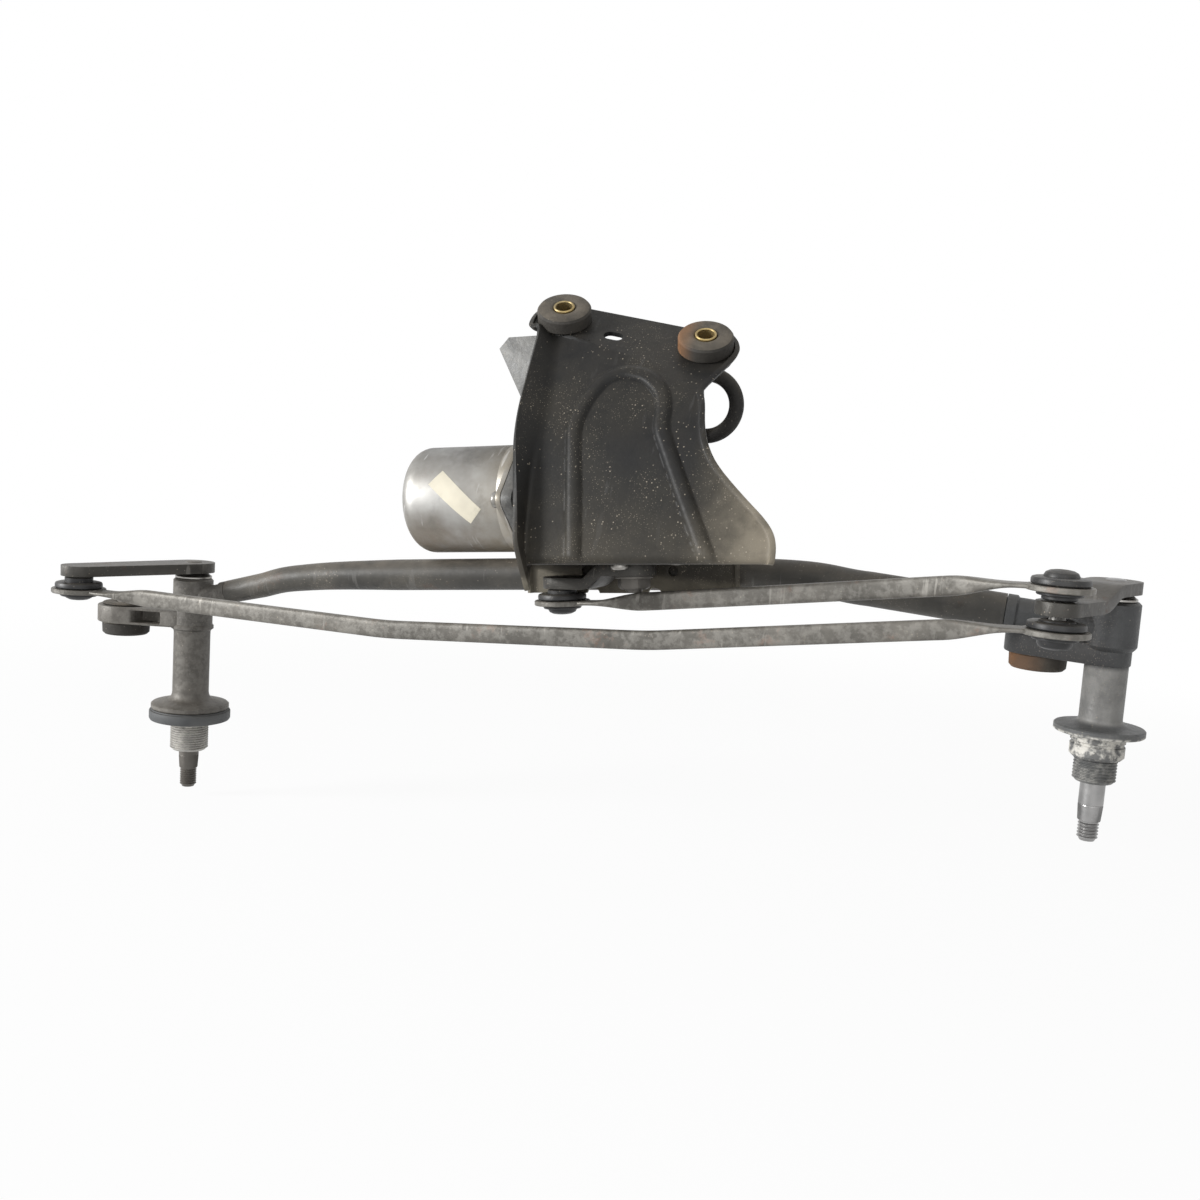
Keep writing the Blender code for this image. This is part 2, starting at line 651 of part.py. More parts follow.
def ball_depth():
    """How far a ball's centre lies behind its socket's mouth."""
    return math.sqrt((BALL_RADIUS + GAP) ** 2 - SOCKET_MOUTH_RADIUS**2)


def half_ball(radius, neck, centre, sign):
    """Profile from a ball's far pole to its neck; sign +1 has the neck above."""
    stop = math.pi - math.asin(neck / radius)
    steps = 5
    points = []
    for i in range(steps + 1):
        angle = stop * i / steps
        points.append((radius * math.sin(angle) if i else 0, centre - sign * radius * math.cos(angle)))
    return points


def socket(name, mouth, sign, neck_length, plate_first, parent, place):
    """Plastic cup round a ball; sign +1 opens upwards. Returns the height of its link plate's middle."""
    cavity = BALL_RADIUS + GAP
    length = ball_depth() + cavity + SOCKET_END_WALL
    groove = LINK_PLATE + 2 * GAP
    skirt = [(SOCKET_SKIRT_RADIUS - 1 * MM, 0), (SOCKET_SKIRT_RADIUS, 1 * MM)]
    skirt += [(SOCKET_SKIRT_RADIUS, SOCKET_SKIRT_LENGTH)]
    lip = [(SOCKET_LIP_RADIUS, 0), (SOCKET_LIP_RADIUS, SOCKET_LIP_LENGTH)]
    waist = [(SOCKET_GROOVE_RADIUS, 0), (SOCKET_GROOVE_RADIUS, groove)]
    stack = (lip, waist, skirt[::-1]) if plate_first else (skirt, waist, lip)
    outside = [(SOCKET_NECK_RADIUS, 0), (SOCKET_NECK_RADIUS, neck_length)]
    depth = neck_length
    for part in stack:
        height = max(z for _, z in part)
        outside += [(r, depth + (height - z if part == skirt[::-1] else z)) for r, z in part]
        if part is waist:
            plate = depth + groove / 2
        depth += height
    outside += [(SOCKET_NECK_RADIUS, max(depth, length - 2 * MM)), (SOCKET_NECK_RADIUS - 2.5 * MM, length)]
    outside += [(0, length)]
    inside = half_ball(cavity, SOCKET_MOUTH_RADIUS, ball_depth(), -1)
    profile = [(r, mouth - sign * z) for r, z in inside + outside]
    add(name, lathe(profile), PLASTIC, parent, place)
    return mouth - sign * plate


def link(name, start, end, knees, start_turn=Matrix.Identity(4)):
    """Flattened tube between two ring ends, which lie flat across their balls."""
    first = (knees[0] if knees else end) - start
    last = end - (knees[-1] if knees else start)
    level = start_turn.inverted() @ first
    flat_first = start_turn @ Vector((level.x, level.y, 0)).normalized()
    flat_last = Vector((last.x, last.y, 0)).normalized()
    edge = SOCKET_GROOVE_RADIUS + 3 * MM
    neck = LINK_RING_RADIUS + 4 * MM
    head = [start + flat_first * edge, start + flat_first * neck]
    head.append(head[1] + first.normalized() * LINK_TAPER)
    tail = [end - flat_last * neck, end - flat_last * edge]
    tail.insert(0, tail[0] - last.normalized() * LINK_TAPER)
    path = [*head, *knees, *tail]
    flat = round_bar(LINK_NECK_WIDTH, LINK_PLATE - 0.4 * MM)
    bar = round_bar(LINK_WIDTH, LINK_HEIGHT)
    sections = [flat, flat] + [bar] * (len(path) - 4) + [flat, flat]
    made = add(name, sweep(path, sections), LINK_STEEL)
    places = (Matrix.Translation(start) @ start_turn, Matrix.Translation(end))
    for place in places:
        ring = prism(circle(LINK_RING_RADIUS), -LINK_PLATE / 2, LINK_PLATE / 2)
        combine(made, "UNION", ring, None, place)
    for place in places:
        hole = prism(circle(SOCKET_GROOVE_RADIUS + GAP), -LINK_HEIGHT, LINK_HEIGHT)
        combine(made, "DIFFERENCE", hole, None, place)


def linkage():
    """Levers' ball joints and the two links."""
    right = move(RIGHT_BALL_X, RIGHT_BALL_Y)
    block_top = RIGHT_LEVER_TOP - RIGHT_LEVER_JOGGLE
    block_bottom = block_top - LEVER_THICKNESS
    upper_mouth = block_top + 0.6 * MM
    lower_mouth = block_bottom - 2.0 * MM
    upper_plate = socket("short_link_right_socket", upper_mouth, -1, 2 * MM, True, None, right)
    lower_plate = socket("long_link_right_socket", lower_mouth, 1, 1 * MM, False, None, right)
    upper = half_ball(BALL_RADIUS, BALL_NECK_RADIUS, upper_mouth + ball_depth(), -1)
    lower = half_ball(BALL_RADIUS, BALL_NECK_RADIUS, lower_mouth - ball_depth(), 1)
    add("right_ball_stud", lathe(lower + upper[::-1], SMALL_SIDES), BARE_STEEL, None, right)

    left = move(LEFT_BALL_X, LEFT_BALL_Y)
    left_mouth = LEFT_LEVER_TOP - LEVER_THICKNESS - 2 * GAP
    left_plate = socket("long_link_left_socket", left_mouth, 1, 3 * MM, False, None, left)
    stud = half_ball(BALL_RADIUS, BALL_NECK_RADIUS, left_mouth - ball_depth(), 1)
    stud += [(BALL_NECK_RADIUS, left_mouth + GAP), (0, left_mouth + GAP)]
    add("left_ball_stud", lathe(stud, SMALL_SIDES), BARE_STEEL, None, left)

    crank_mouth = CRANK_HUB_TOP - CRANK_JOGGLE - CRANK_THICKNESS - 2 * GAP
    pin = crank_pin()
    at_pin = move(pin.x, pin.y)
    crank_plate = socket("short_link_crank_socket", crank_mouth, 1, 2.2 * MM, False, BODY, at_pin)
    stud = half_ball(BALL_RADIUS, BALL_NECK_RADIUS, crank_mouth - ball_depth(), 1)
    stud += [(BALL_NECK_RADIUS, crank_mouth + GAP), (0, crank_mouth + GAP)]
    add("crank_ball_stud", lathe(stud, SMALL_SIDES), BARE_STEEL, BODY, at_pin)

    short_start = body_to_world(pin.x, pin.y, crank_plate)
    short_end = Vector((RIGHT_BALL_X, RIGHT_BALL_Y, upper_plate))
    link("short_link", short_start, short_end, [], Matrix.Rotation(-BODY_TILT, 4, "Y"))
    drift = (RIGHT_BALL_Y - LEFT_BALL_Y) / (RIGHT_BALL_X - LEFT_BALL_X)
    knees = [
        Vector((x, LEFT_BALL_Y + drift * (x - LEFT_BALL_X), z))
        for x, z in ((LONG_LINK_KNEE_X, LONG_LINK_KNEE_Z), (LONG_LINK_DIP_X, LONG_LINK_DIP_Z))
    ]
    start = Vector((LEFT_BALL_X, LEFT_BALL_Y, left_plate))
    link("long_link", start, Vector((RIGHT_BALL_X, RIGHT_BALL_Y, lower_plate)), knees)


def crank_pin():
    """Crank pin in the body frame: in line with the output shaft and the right ball, on the far side."""
    ball = Matrix.Rotation(BODY_TILT, 4, "Y") @ Vector((RIGHT_BALL_X, RIGHT_BALL_Y, RIGHT_LEVER_TOP))
    toward = Vector((ball.x - OUTPUT_X, ball.y - OUTPUT_Y, 0)).normalized()
    return Vector((OUTPUT_X, OUTPUT_Y, 0)) - toward * CRANK_RADIUS


def top_frame():
    """Matrix of the bracket's top flange: X along its bushes, Y to its rear edge, Z out of its face."""
    along = Vector((math.cos(TOP_SLOPE), 0, -math.sin(TOP_SLOPE)))
    back = Vector((0, math.cos(TOP_RISE), math.sin(TOP_RISE)))
    face = along.cross(back).normalized()
    back = face.cross(along)
    matrix = Matrix((along, back, face)).transposed().to_4x4()
    matrix.translation = (TOP_CENTRE_X, TOP_CENTRE_Y, TOP_CENTRE_Z)
    return matrix


def plate_y(z):
    return BASE_FRONT_Y + (z - BASE_Z) * PLATE_LEAN


def bend_point(top, along):
    """Where the top flange meets the plate, at a distance along the flange."""
    a = top @ Vector((along, 0, 0))
    b = top @ Vector((along, -10 * MM, 0))
    miss_a, miss_b = a.y - plate_y(a.z), b.y - plate_y(b.z)
    return a + (b - a) * miss_a / (miss_a - miss_b)


def motor_bracket():
    """Pressed sheet: skirt on the tube, base flange, leaning plate with side flanges, and top flange."""
    top = top_frame()
    skirt_y = -TUBE_RADIUS - GAP - SHEET / 2
    half = TOP_BUSH_SPACING / 2
    plate_sides = (
        (0.14, 0.36, 0.82),
        (0.27, 0.72, 0.46),
        (0.41, 0.94, 0.16),
        (0.57, 1.0, 0.01),
        (0.69, 0.94, 0.0),
    )
    ear = BUSH_RADIUS + 1.5 * MM
    flange_rows = (
        (-TOP_FRONT, half + ear),
        (0, half + ear + 0.5 * MM),
        (TOP_REAR * 0.6, half + ear - 3 * MM),
        (TOP_REAR, half + ear - 9 * MM),
    )
    rows = [
        (Vector((SKIRT_LEFT_X, skirt_y, SKIRT_BOTTOM)), Vector((SKIRT_RIGHT_X, skirt_y, SKIRT_BOTTOM))),
        (Vector((SKIRT_LEFT_X, skirt_y, BASE_Z)), Vector((SKIRT_RIGHT_X, skirt_y, BASE_Z))),
        (Vector((BASE_LEFT_X, BASE_FRONT_Y, BASE_Z)), Vector((BASE_RIGHT_X, BASE_FRONT_Y, BASE_Z))),
    ]
    lip = Vector((2 * MM, 0, 0))
    out = Vector((0, -BASE_LIP, 0))
    corner = Vector((0, -PLATE_FLANGE_DEPTH * 0.6, -14 * MM))
    tips = [
        (out - lip, out + lip),
        (out - lip + Vector((0, 0, -5 * MM)), out + lip + Vector((0, 0, -5 * MM))),
        (corner + lip * 1.5, lip + Vector((0, -PLATE_LIP_DEPTH, -3 * MM))),
    ]
    for share, drawn_in, spread in plate_sides:
        z = BASE_Z + (TOP_CENTRE_Z - BASE_Z) * share
        left = BASE_LEFT_X + (WAIST_LEFT_X - BASE_LEFT_X) * drawn_in
        right = WAIST_RIGHT_X + (BASE_RIGHT_X - WAIST_RIGHT_X) * spread
        rows.append((Vector((left, plate_y(z), z)), Vector((right, plate_y(z), z))))
        deep, narrow = Vector((0, -PLATE_FLANGE_DEPTH, 0)), Vector((0, -PLATE_LIP_DEPTH, 0))
        tips.append((deep - lip / 2, narrow + lip / 2))
    rows.append((bend_point(top, -half - 10 * MM), bend_point(top, half + 8 * MM)))
    shallow = Vector((0, -PLATE_FLANGE_DEPTH * 0.7, 2 * MM))
    tips.append((shallow - lip / 2, Vector((0, -PLATE_LIP_DEPTH, 1 * MM)) + lip / 2))
    for back, reach in flange_rows:
        rows.append((top @ Vector((-reach, back, 0)), top @ Vector((reach, back, 0))))
        turned = top.to_3x3() @ Vector((0, 0, TOP_LIP))
        tips.append((turned - lip / 2, turned + lip / 2))
    shape = bmesh.new()
    columns = (0, 0.2, 0.4, 0.6, 0.8, 1)
    grid = []
    for (left, right), (left_tip, right_tip) in zip(rows, tips):
        points = [left + left_tip, *(left.lerp(right, share) for share in columns), right + right_tip]
        grid.append([shape.verts.new(point) for point in points])
    for a, b in zip(grid, grid[1:]):
        for i in range(len(a) - 1):
            shape.faces.new([a[i], a[i + 1], b[i + 1], b[i]])
    bracket = add("motor_bracket", shape, BLACK_SHEET, BODY)
    thick = bracket.modifiers.new("Sheet", "SOLIDIFY")
    thick.thickness = SHEET
    thick.offset = 0
    thick.use_even_offset = True

    arch = smooth([Vector((x, plate_y(z), z)) for x, z in rib_points()], 3)
    section = round_bar(2 * RIB_HEIGHT + SHEET, RIB_WIDTH, 2)
    combine(bracket, "UNION", arch_rib(arch, section), BODY, solver="MANIFOLD")

    for side in (-1, 1):
        bush_hole(bracket, SHEET, BODY, top @ move(side * half))
    for x, y in motor_screw_points():
        hole = prism(circle(SCREW_RADIUS + GAP, SMALL_SIDES), BASE_Z - SHEET, BASE_Z + SHEET)
        combine(bracket, "DIFFERENCE", hole, BODY, move(x, y), solver="MANIFOLD")
    opening = prism(circle(OUTPUT_RADIUS + 3 * MM), BASE_Z - SHEET, BASE_Z + SHEET)
    combine(bracket, "DIFFERENCE", opening, BODY, move(OUTPUT_X, OUTPUT_Y), solver="MANIFOLD")
    for name, side in (("upper_left", -1), ("upper_right", 1)):
        bush_and_sleeve(name, SHEET, BUSH_FRONT, BUSH_BACK, BODY, top @ move(side * half))


def rib_points():
    """Arch of the plate's rib in X and Z, as shares of its width and height from its left leg."""
    wide = RIB_RIGHT_X - RIB_LEFT_X
    low = BASE_Z + 6 * MM
    shares = ((-0.03, 0), (0, 0.41), (0.02, 0.72), (0.17, 0.94), (0.39, 1))
    shares += ((0.61, 0.94), (0.69, 0.74), (0.88, 0.36), (1.13, 0))
    return [(RIB_LEFT_X + wide * a, low + (RIB_TOP_Z - low) * b) for a, b in shares]


def arch_rib(path, section):
    """Rib along an arch on the plate; the section's first direction stands out of the plate."""
    out = Vector((0, -1, PLATE_LEAN)).normalized()
    shape = bmesh.new()
    rings = []
    for i, point in enumerate(path):
        along = (path[min(i + 1, len(path) - 1)] - path[max(i - 1, 0)]).normalized()
        side = along.cross(out).normalized()
        rings.append([shape.verts.new(point + out * a + side * b) for a, b in section])
    rings_joined(shape, rings, closed=False)
    shape.faces.new(rings[0])
    shape.faces.new(rings[-1])
    return shape


def motor_screw_points():
    for angle in (30, 150, 270):
        turn = math.radians(angle)
        yield OUTPUT_X + MOTOR_SCREW_CIRCLE * math.cos(turn), OUTPUT_Y + MOTOR_SCREW_CIRCLE * math.sin(turn)


def screw(name, place, parent, length=SCREW_LENGTH):
    """Screw whose head rests on the origin and whose shank runs along +Z."""
    profile = [
        (0, -SCREW_HEAD_HEIGHT),
        (SCREW_HEAD_RADIUS - 1 * MM, -SCREW_HEAD_HEIGHT),
        (SCREW_HEAD_RADIUS, -SCREW_HEAD_HEIGHT + 1 * MM),
        (SCREW_HEAD_RADIUS, -GAP),
        (SCREW_RADIUS, -GAP),
        (SCREW_RADIUS, length),
        (0, length),
    ]
    add(name, lathe(profile, SMALL_SIDES), BARE_STEEL, parent, place)


def screw_hole(target, place, parent, length=SCREW_LENGTH):
    hole = prism(circle(SCREW_RADIUS + GAP, SMALL_SIDES), -5 * MM, length + 2 * MM)
    combine(target, "DIFFERENCE", hole, parent, place)


def can_axis():
    """Matrix whose Z runs along the armature, from the gear case to the can's closed end."""
    return move(CASE_LEFT_X, WORM_Y, WORM_Z) @ Matrix.Rotation(-math.pi / 2, 4, "Y")


def can_outline(radius):
    ears = []
    for side in (-1, 1):
        ears += circle(CAN_EAR_RADIUS, SMALL_SIDES, 0, side * CAN_EAR_REACH)
    return hull(circle(radius) + ears)


def tower_outline():
    """Board case from the front, in X and Z."""
    foot = CASE_TOP_Z - TOWER_FOOT
    corner = 6 * MM
    return [
        (CASE_LEFT_X + 9 * MM, foot),
        (TOWER_RIGHT_X, foot),
        (TOWER_RIGHT_X, LEAD_Z + LEAD_LOOP_RADIUS + 2 * LEAD_RADIUS),
        (TOWER_RIGHT_X - corner, TOWER_TOP_Z - 2 * corner),
        (10 * MM, TOWER_TOP_Z - 2 * corner + 2 * MM),
        (-16 * MM, TOWER_TOP_Z),
        (TOWER_CORNER_X + corner, TOWER_TOP_Z),
        (TOWER_CORNER_X, TOWER_TOP_Z - corner),
        (CASE_LEFT_X - 4 * MM, (foot + TOWER_TOP_Z) / 2),
    ]


def upright(outline, front, rear):
    """Outline in X and Z, extruded from one depth to another."""
    shape = prism(outline, -rear, -front)
    bmesh.ops.rotate(shape, verts=shape.verts, matrix=Matrix.Rotation(math.pi / 2, 3, "X"))
    return shape


def shrink(outline, amount):
    """Outline drawn in towards its middle by about the amount on each side."""
    cx = (min(x for x, _ in outline) + max(x for x, _ in outline)) / 2
    cy = (min(y for _, y in outline) + max(y for _, y in outline)) / 2
    half_x = max(x for x, _ in outline) - cx
    half_y = max(y for _, y in outline) - cy
    scale_x, scale_y = 1 - amount / half_x, 1 - amount / half_y
    return [(cx + (x - cx) * scale_x, cy + (y - cy) * scale_y) for x, y in outline]


def gear_case():
    """Aluminium case on the base flange: worm box, wheel drum and upright board case, with its covers."""
    bottom = BASE_Z + SHEET / 2 + GAP
    box_left = CASE_LEFT_X + CASE_INSET
    box = [(box_left, CASE_FRONT_Y), (CASE_RIGHT_X, CASE_FRONT_Y)]
    box += [(CASE_RIGHT_X, CASE_REAR_Y), (box_left, CASE_REAR_Y)]
    drum_radius = WHEEL_RADIUS + CASE_WALL + 1 * MM
    case = add("gear_housing", prism(box, bottom, CASE_TOP_Z), CASE_ALLOY, BODY)
    drum = prism(circle(drum_radius, LARGE_SIDES), bottom, DRUM_TOP_Z)
    combine(case, "UNION", drum, BODY, move(OUTPUT_X, OUTPUT_Y))
    combine(case, "UNION", upright(tower_outline(), TOWER_FRONT_Y, CASE_REAR_Y), BODY)
    combine(case, "UNION", prism(can_outline(CAN_RADIUS + 1 * MM), -CASE_INSET - 1 * MM, 0), BODY, can_axis())
    wheel_low = WORM_Z - WHEEL_THICKNESS / 2 - 1 * MM
    cavity = prism(circle(WHEEL_RADIUS + 1 * MM, LARGE_SIDES), wheel_low, CASE_TOP_Z + 10 * MM)
    combine(case, "DIFFERENCE", cavity, BODY, move(OUTPUT_X, OUTPUT_Y))
    tunnel = prism(circle(WORM_RADIUS + 2.5 * MM), CASE_LEFT_X - CASE_RIGHT_X + 8 * MM, 10 * MM)
    combine(case, "DIFFERENCE", tunnel, BODY, can_axis())
    mouth = OUTPUT_RADIUS + GAP + BEARING_WALL + GAP
    combine(case, "DIFFERENCE", prism(circle(mouth), 0, WORM_Z), BODY, move(OUTPUT_X, OUTPUT_Y))
    room = shrink(tower_outline(), CASE_WALL)
    combine(case, "DIFFERENCE", upright(room, TOWER_FRONT_Y + CASE_WALL, CASE_REAR_Y + 10 * MM), BODY)
    for i, (x, y) in enumerate(motor_screw_points()):
        place = move(x, y, BASE_Z - SHEET / 2 - GAP)
        screw_hole(case, place, BODY)
        screw(f"motor_screw_{i + 1}", place, BODY)
    turned = Matrix.Rotation(math.pi, 4, "X")
    for i, side in enumerate((-1, 1)):
        place = can_axis() @ move(0, side * CAN_EAR_REACH, CAN_FLANGE + 2 * GAP) @ turned
        screw_hole(case, place, BODY, CAN_FLANGE + 5 * MM)
        screw(f"can_screw_{i + 1}", place, BODY, CAN_FLANGE + 3 * MM)

    lid_low = DRUM_TOP_Z + GAP
    lid = prism(circle(drum_radius, LARGE_SIDES), lid_low, lid_low + COVER_THICKNESS)
    cover = add("gear_cover", lid, PLASTIC, BODY, move(OUTPUT_X, OUTPUT_Y))
    front = CASE_FRONT_Y - GAP
    clear = [(CASE_LEFT_X, front), (2 * CASE_RIGHT_X, front)]
    clear += [(2 * CASE_RIGHT_X, 2 * CASE_REAR_Y), (CASE_LEFT_X, 2 * CASE_REAR_Y)]
    combine(cover, "DIFFERENCE", prism(clear, DRUM_TOP_Z - 5 * MM, CASE_TOP_Z + 5 * MM), BODY)
    rear = CASE_REAR_Y + GAP
    add("board_cover", upright(tower_outline(), rear, rear + COVER_THICKNESS), PLASTIC, BODY)
    back = TOWER_FRONT_Y + CASE_WALL + GAP
    board = upright(shrink(tower_outline(), CASE_WALL + 2 * MM), back, back + BOARD_THICKNESS)
    add("control_board", board, BOARD, BODY)


def motor_lead():
    """Black sleeved lead that loops out of the board case and back into it, held at both ends."""
    root = Vector((TOWER_RIGHT_X + GAP, (TOWER_FRONT_Y + CASE_REAR_Y) / 2, LEAD_Z))
    straight = Vector((LEAD_RADIUS, 0, 0))
    down = Vector((0, 0, -LEAD_LOOP_RADIUS))
    points = [root + down]
    for i in range(13):
        turn = math.radians(-90 + 15 * i)
        reach = LEAD_LOOP_RADIUS * math.cos(turn)
        points.append(root + straight + Vector((reach, 0, LEAD_LOOP_RADIUS * math.sin(turn))))
    points.append(root - down)
    add("motor_lead", sweep(points, [circle(LEAD_RADIUS, SMALL_SIDES)] * len(points)), RUBBER, BODY)


def round_shoulder(radius, top, corner):
    """Profile of a drawn shell's shoulder, from its wall to its flat end."""
    turns = [math.pi / 8 * i for i in range(5)]
    return [(radius - corner * (1 - math.cos(t)), top - corner * (1 - math.sin(t))) for t in turns]


def can_shell():
    """Profile of the drawn can, from its closed end to a rim in its flange and round to the inside."""
    inner = CAN_RADIUS - CAN_WALL
    pocket = bearing_pocket()
    boss = pocket + CAN_WALL
    end = CAN_LENGTH + CAN_BOSS_LENGTH
    floor = CAN_LENGTH - CAN_WALL
    rim = GAP + CAN_FLANGE / 2
    outside = [(0, end), (boss - 1 * MM, end), (boss, CAN_LENGTH + 1 * MM), (boss + 1 * MM, CAN_LENGTH)]
    outside += round_shoulder(CAN_RADIUS, CAN_LENGTH, CAN_ROUND)[::-1]
    outside += [(CAN_RADIUS, rim)]
    inside = [(inner, rim), *round_shoulder(inner, floor, CAN_ROUND - CAN_WALL)]
    inside += [(pocket, floor), (pocket, end - CAN_WALL), (0, end - CAN_WALL)]
    return outside + inside


def bearing_pocket():
    return SHAFT_RADIUS + GAP + BEARING_WALL + GAP


def core_start():
    """Where the armature's core and the magnets begin, along the can."""
    return CAN_LENGTH - CAN_ROUND - ARMATURE_LENGTH - 3 * MM


def motor_can():
    """Deep drawn can with two ears, its magnets, brush gear and rear bearing."""
    inner = CAN_RADIUS - CAN_WALL
    axis = can_axis()
    can = add("motor_can", lathe(can_shell(), LARGE_SIDES), CAN_STEEL, BODY, axis)
    flange = prism(can_outline(CAN_RADIUS + 1 * MM), GAP, GAP + CAN_FLANGE)
    combine(can, "UNION", flange, BODY, axis)
    mouth = prism(circle(inner - GAP, LARGE_SIDES), -5 * MM, CAN_FLANGE + 5 * MM)
    combine(can, "DIFFERENCE", mouth, BODY, axis)
    for side in (-1, 1):
        hole = prism(circle(SCREW_RADIUS + GAP, SMALL_SIDES), -5 * MM, CAN_FLANGE + 5 * MM)
        combine(can, "DIFFERENCE", hole, BODY, axis @ move(0, side * CAN_EAR_REACH))
    low = core_start()
    for i, middle in enumerate((90, 270)):
        outer = [(inner - GAP, middle + turn) for turn in range(-60, 61, 12)]
        arc = outer + [(inner - MAGNET_THICKNESS, turn) for _, turn in reversed(outer)]
        outline = [(r * math.cos(math.radians(t)), r * math.sin(math.radians(t))) for r, t in arc]
        add(f"magnet_{i + 1}", prism(outline, low, low + ARMATURE_LENGTH), MAGNET, BODY, axis)
    near = COMMUTATOR_RADIUS + GAP
    far = near + BRUSH_LENGTH
    plate_top = BRUSH_PLATE_Z + BRUSH_PLATE
    plate = [(far, BRUSH_PLATE_Z), (inner - GAP, BRUSH_PLATE_Z), (inner - GAP, plate_top), (far, plate_top)]
    add("brush_holder", lathe(plate), PLASTIC, BODY, axis)
    half = BRUSH_WIDTH / 2
    for i in range(2):
        block = [(-half, near), (half, near), (half, far - 2 * GAP), (-half, far - 2 * GAP)]
        brush = prism(block, BRUSH_PLATE_Z, BRUSH_PLATE_Z + BRUSH_HEIGHT)
        add(f"brush_{i + 1}", brush, MAGNET, BODY, axis @ Matrix.Rotation(math.pi * i, 4, "Z"))
    bore, rim = SHAFT_RADIUS + GAP, bearing_pocket() - GAP
    low, high = CAN_LENGTH - CAN_WALL, CAN_LENGTH + CAN_BOSS_LENGTH - CAN_WALL - GAP
    bearing = [(bore, low), (rim, low), (rim, high), (bore, high)]
    add("can_bearing", lathe(bearing, SMALL_SIDES), BRONZE, BODY, axis)


def armature():
    """Shaft with its worm, wound core and commutator, turning together."""
    axis = can_axis()
    rear = CAN_LENGTH + 4 * MM
    worm_end = CASE_LEFT_X - CASE_RIGHT_X + 14 * MM
    height = worm_end + WORM_LENGTH
    profile = [(0, rear), (SHAFT_RADIUS, rear), (SHAFT_RADIUS, height)]
    while height - WORM_PITCH > worm_end:
        profile += [(WORM_RADIUS, height - WORM_PITCH * 0.3), (WORM_RADIUS, height - WORM_PITCH * 0.5)]
        profile += [(SHAFT_RADIUS, height - WORM_PITCH * 0.8)]
        height -= WORM_PITCH
    profile += [(SHAFT_RADIUS, worm_end - 3 * MM), (0, worm_end - 3 * MM)]
    add("armature_shaft", lathe(profile, SMALL_SIDES), BARE_STEEL, BODY, axis)
    bore = SHAFT_RADIUS + GAP
    low = core_start()
    high = low + ARMATURE_LENGTH
    core = [(bore, low), (ARMATURE_RADIUS, low), (ARMATURE_RADIUS, high), (bore, high)]
    add("armature_core", lathe(core), COPPER, BODY, axis)
    low = BRUSH_PLATE_Z - 2 * MM
    high = low + COMMUTATOR_LENGTH
    ring = [(bore, low), (COMMUTATOR_RADIUS, low), (COMMUTATOR_RADIUS, high), (bore, high)]
    add("commutator", lathe(ring), COPPER, BODY, axis)


def output_and_crank():
    """Worm wheel on the output shaft, its bearing, and the crank with its nut."""
    at = move(OUTPUT_X, OUTPUT_Y)
    wheel_high = WORM_Z + WHEEL_THICKNESS / 2
    wheel_low = WORM_Z - WHEEL_THICKNESS / 2
    shoulder = CRANK_HUB_TOP + GAP
    end = CRANK_HUB_TOP - CRANK_THICKNESS - NUT_HEIGHT - 2 * MM
    shaft = [
        (0, wheel_high + 2 * MM),
        (OUTPUT_RADIUS, wheel_high + 2 * MM),
        (OUTPUT_RADIUS, shoulder),
        (OUTPUT_RADIUS - 1 * MM, shoulder),
        (OUTPUT_RADIUS - 1 * MM, end + 1 * MM),
        (OUTPUT_RADIUS - 2 * MM, end),
        (0, end),
    ]
    add("output_shaft", lathe(shaft, SMALL_SIDES), BARE_STEEL, BODY, at)
    turn = 2 * math.pi / (2 * WHEEL_TEETH)
    rim = []
    for i in range(2 * WHEEL_TEETH):
        radius = WHEEL_RADIUS if i % 2 else WHEEL_RADIUS - TOOTH_DEPTH
        rim.append((radius * math.cos(turn * i), radius * math.sin(turn * i)))
    wheel = add("worm_wheel", prism(rim, wheel_low, wheel_high), GEAR_PLASTIC, BODY, at)
    combine(wheel, "DIFFERENCE", prism(circle(OUTPUT_RADIUS + GAP, SMALL_SIDES), 0, CASE_TOP_Z), BODY, at)
    inner = OUTPUT_RADIUS + GAP
    outer = inner + BEARING_WALL
    low, high = BASE_Z + SHEET / 2 + GAP, wheel_low - 1 * MM - GAP
    add("output_bearing", lathe([(inner, high), (outer, high), (outer, low), (inner, low)]), BRONZE, BODY, at)
    hub = Vector((OUTPUT_X, OUTPUT_Y, CRANK_HUB_TOP - CRANK_THICKNESS / 2))
    pin = crank_pin()
    pin.z = hub.z
    sizes = (CRANK_JOGGLE, CRANK_THICKNESS, CRANK_HUB_RADIUS, CRANK_END_RADIUS)
    crank = joggled_arm("crank_arm", hub, pin, *sizes, LINK_STEEL, BODY)
    hole = prism(circle(OUTPUT_RADIUS - 1 * MM + GAP, SMALL_SIDES), -CRANK_THICKNESS, CRANK_THICKNESS)
    combine(crank, "DIFFERENCE", hole, BODY, Matrix.Translation(hub))
    high = CRANK_HUB_TOP - CRANK_THICKNESS - GAP
    nut = add("crank_nut", prism(circle(NUT_RADIUS, 6), high - NUT_HEIGHT, high), BARE_STEEL, BODY, at)
    bore = prism(circle(OUTPUT_RADIUS - 1 * MM + GAP, SMALL_SIDES), high - 2 * NUT_HEIGHT, high + NUT_HEIGHT)
    combine(nut, "DIFFERENCE", bore, BODY, at)


frame_tube()
left_end = left_pivot()
right_end = right_pivot()
spindle("left", LEFT_SPINDLE_X, LEFT_LEVER_TOP, left_end, LEFT_SHAFT_LENGTH, LEFT_SCREW_LENGTH)
spindle("right", RIGHT_SPINDLE_X, RIGHT_LEVER_TOP, right_end, RIGHT_SHAFT_LENGTH, RIGHT_SCREW_LENGTH)
left_lever()
right_lever()
linkage()
motor_bracket()
gear_case()
motor_lead()
motor_can()
armature()
output_and_crank()
